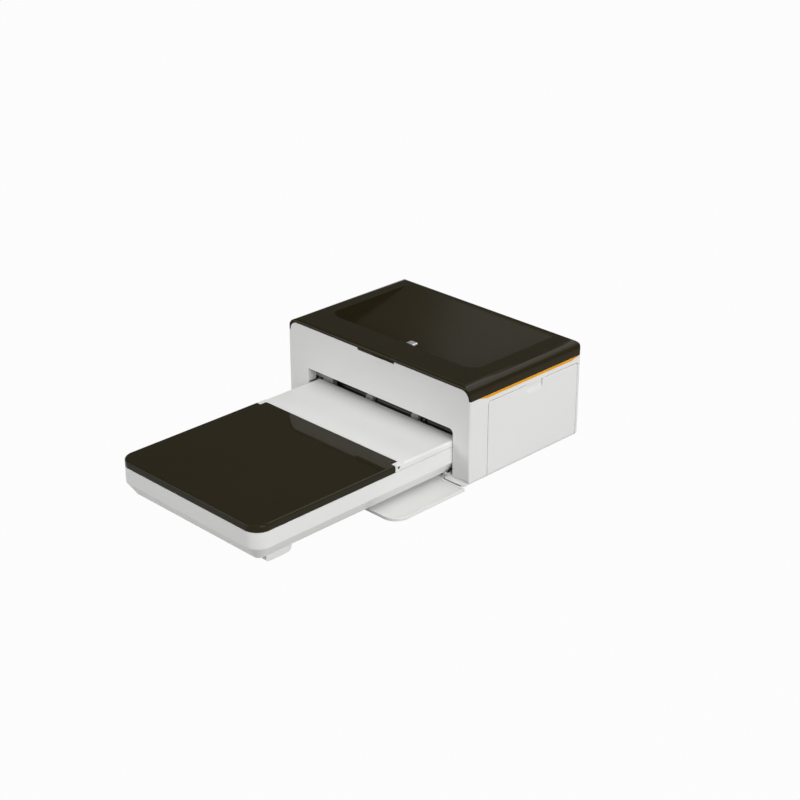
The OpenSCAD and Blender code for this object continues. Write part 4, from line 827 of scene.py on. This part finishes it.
def softbox(name, place, width, height, power):
    """A rectangular soft light that faces the printer."""
    lamp = bpy.data.lights.new(name, "AREA")
    lamp.shape = "RECTANGLE"
    lamp.size = width
    lamp.size_y = height
    lamp.energy = power
    holder = bpy.data.objects.new(name, lamp)
    bpy.context.scene.collection.objects.link(holder)
    holder.location = place
    holder.rotation_euler = (Vector(LIGHT_AIM) - Vector(place)).to_track_quat("-Z", "Y").to_euler()


class PRINTER_OT_studio(bpy.types.Operator):
    """Sets up the floor, the soft lights and the camera."""

    bl_idname = "printer.studio"
    bl_label = "Studio"

    def execute(self, context):
        scene = context.scene
        studio = scene.printer_studio
        bpy.ops.object.select_all(action="DESELECT")
        bpy.ops.mesh.primitive_circle_add(vertices=ROUND_SIDES, radius=studio.floor_radius,
                                          fill_type="NGON", location=(0, 0, -FLOOR_DROP))
        floor = context.active_object
        floor.name = "studio_floor"
        # The footprint of painted shade under the body: the housing's outline, drawn in by the inset.
        low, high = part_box("housing")
        shade_footprint = [((low[axis] + high[axis]) / 2, (high[axis] - low[axis]) / 2 - inset)
                     for axis, inset in enumerate(SHADE_FOOTPRINT_INSET)]
        floor.data.materials.append(studio_surface("studio_floor", FLOOR_GLOW, FLOOR_TINT, shade_footprint))
        bpy.ops.mesh.primitive_cylinder_add(vertices=ROUND_SIDES, radius=studio.floor_radius,
                                            depth=studio.wall_height, end_fill_type="NOTHING",
                                            location=(0, 0, studio.wall_height / 2))
        wall = context.active_object
        wall.name = "studio_wall"
        wall.data.materials.append(studio_surface("studio_wall", WALL_GLOW, WALL_TINT))

        world = bpy.data.worlds.new("room")
        scene.world = world
        world.use_nodes = True
        sky = world.node_tree.nodes["Background"]
        sky.inputs["Color"].default_value = (1, 1, 1, 1)
        sky.inputs["Strength"].default_value = studio.ambient

        for row in SOFTBOXES:
            softbox(*row)

        camera = bpy.data.cameras.new("camera")
        camera.lens = studio.focal_length
        camera.sensor_width = SENSOR_WIDTH
        camera.clip_end = CAMERA_REACH
        eye = bpy.data.objects.new("camera", camera)
        scene.collection.objects.link(eye)
        eye.location = CAMERA_PLACE
        eye.rotation_euler = CAMERA_TURN
        scene.camera = eye
        scene.view_settings.view_transform = "Standard"
        return {"FINISHED"}


# ---------------------------------------------------------------- panel and registration

STEPS = (
    PRINTER_OT_finishes,
    PRINTER_OT_body_shells,
    PRINTER_OT_gloss_parts,
    PRINTER_OT_tray_shells,
    PRINTER_OT_fittings,
    PRINTER_OT_mixed_parts,
    PRINTER_OT_lift_spring,
    PRINTER_OT_print_exit,
    PRINTER_OT_studio,
)


class PRINTER_PT_panel(bpy.types.Panel):
    """Lists the printer's operators and settings in the sidebar."""

    bl_label = "Compact photo printer"
    bl_idname = "PRINTER_PT_panel"
    bl_space_type = "VIEW_3D"
    bl_region_type = "UI"
    bl_category = "Printer"

    def draw(self, context):
        for group in (context.scene.printer_colours, context.scene.printer_sizes,
                      context.scene.printer_studio):
            for key in group.bl_rna.properties.keys():
                if key not in ("rna_type", "name"):
                    self.layout.prop(group, key)
        for step in STEPS:
            self.layout.operator(step.bl_idname)


CLASSES = (PrinterColours, PrinterSizes, PrinterStudio, *STEPS, PRINTER_PT_panel)


def register():
    """Registers the classes and hangs the settings on the scene."""
    for made in CLASSES:
        bpy.utils.register_class(made)
    bpy.types.Scene.printer_colours = bpy.props.PointerProperty(type=PrinterColours)
    bpy.types.Scene.printer_sizes = bpy.props.PointerProperty(type=PrinterSizes)
    bpy.types.Scene.printer_studio = bpy.props.PointerProperty(type=PrinterStudio)


def unregister():
    """Takes back what register did."""
    del bpy.types.Scene.printer_studio
    del bpy.types.Scene.printer_sizes
    del bpy.types.Scene.printer_colours
    for made in reversed(CLASSES):
        bpy.utils.unregister_class(made)


def main():
    """Runs every operator in order."""
    register()
    for step in STEPS:
        group, name = step.bl_idname.split(".")
        getattr(getattr(bpy.ops, group), name)()


if __name__ == "__main__":
    main()
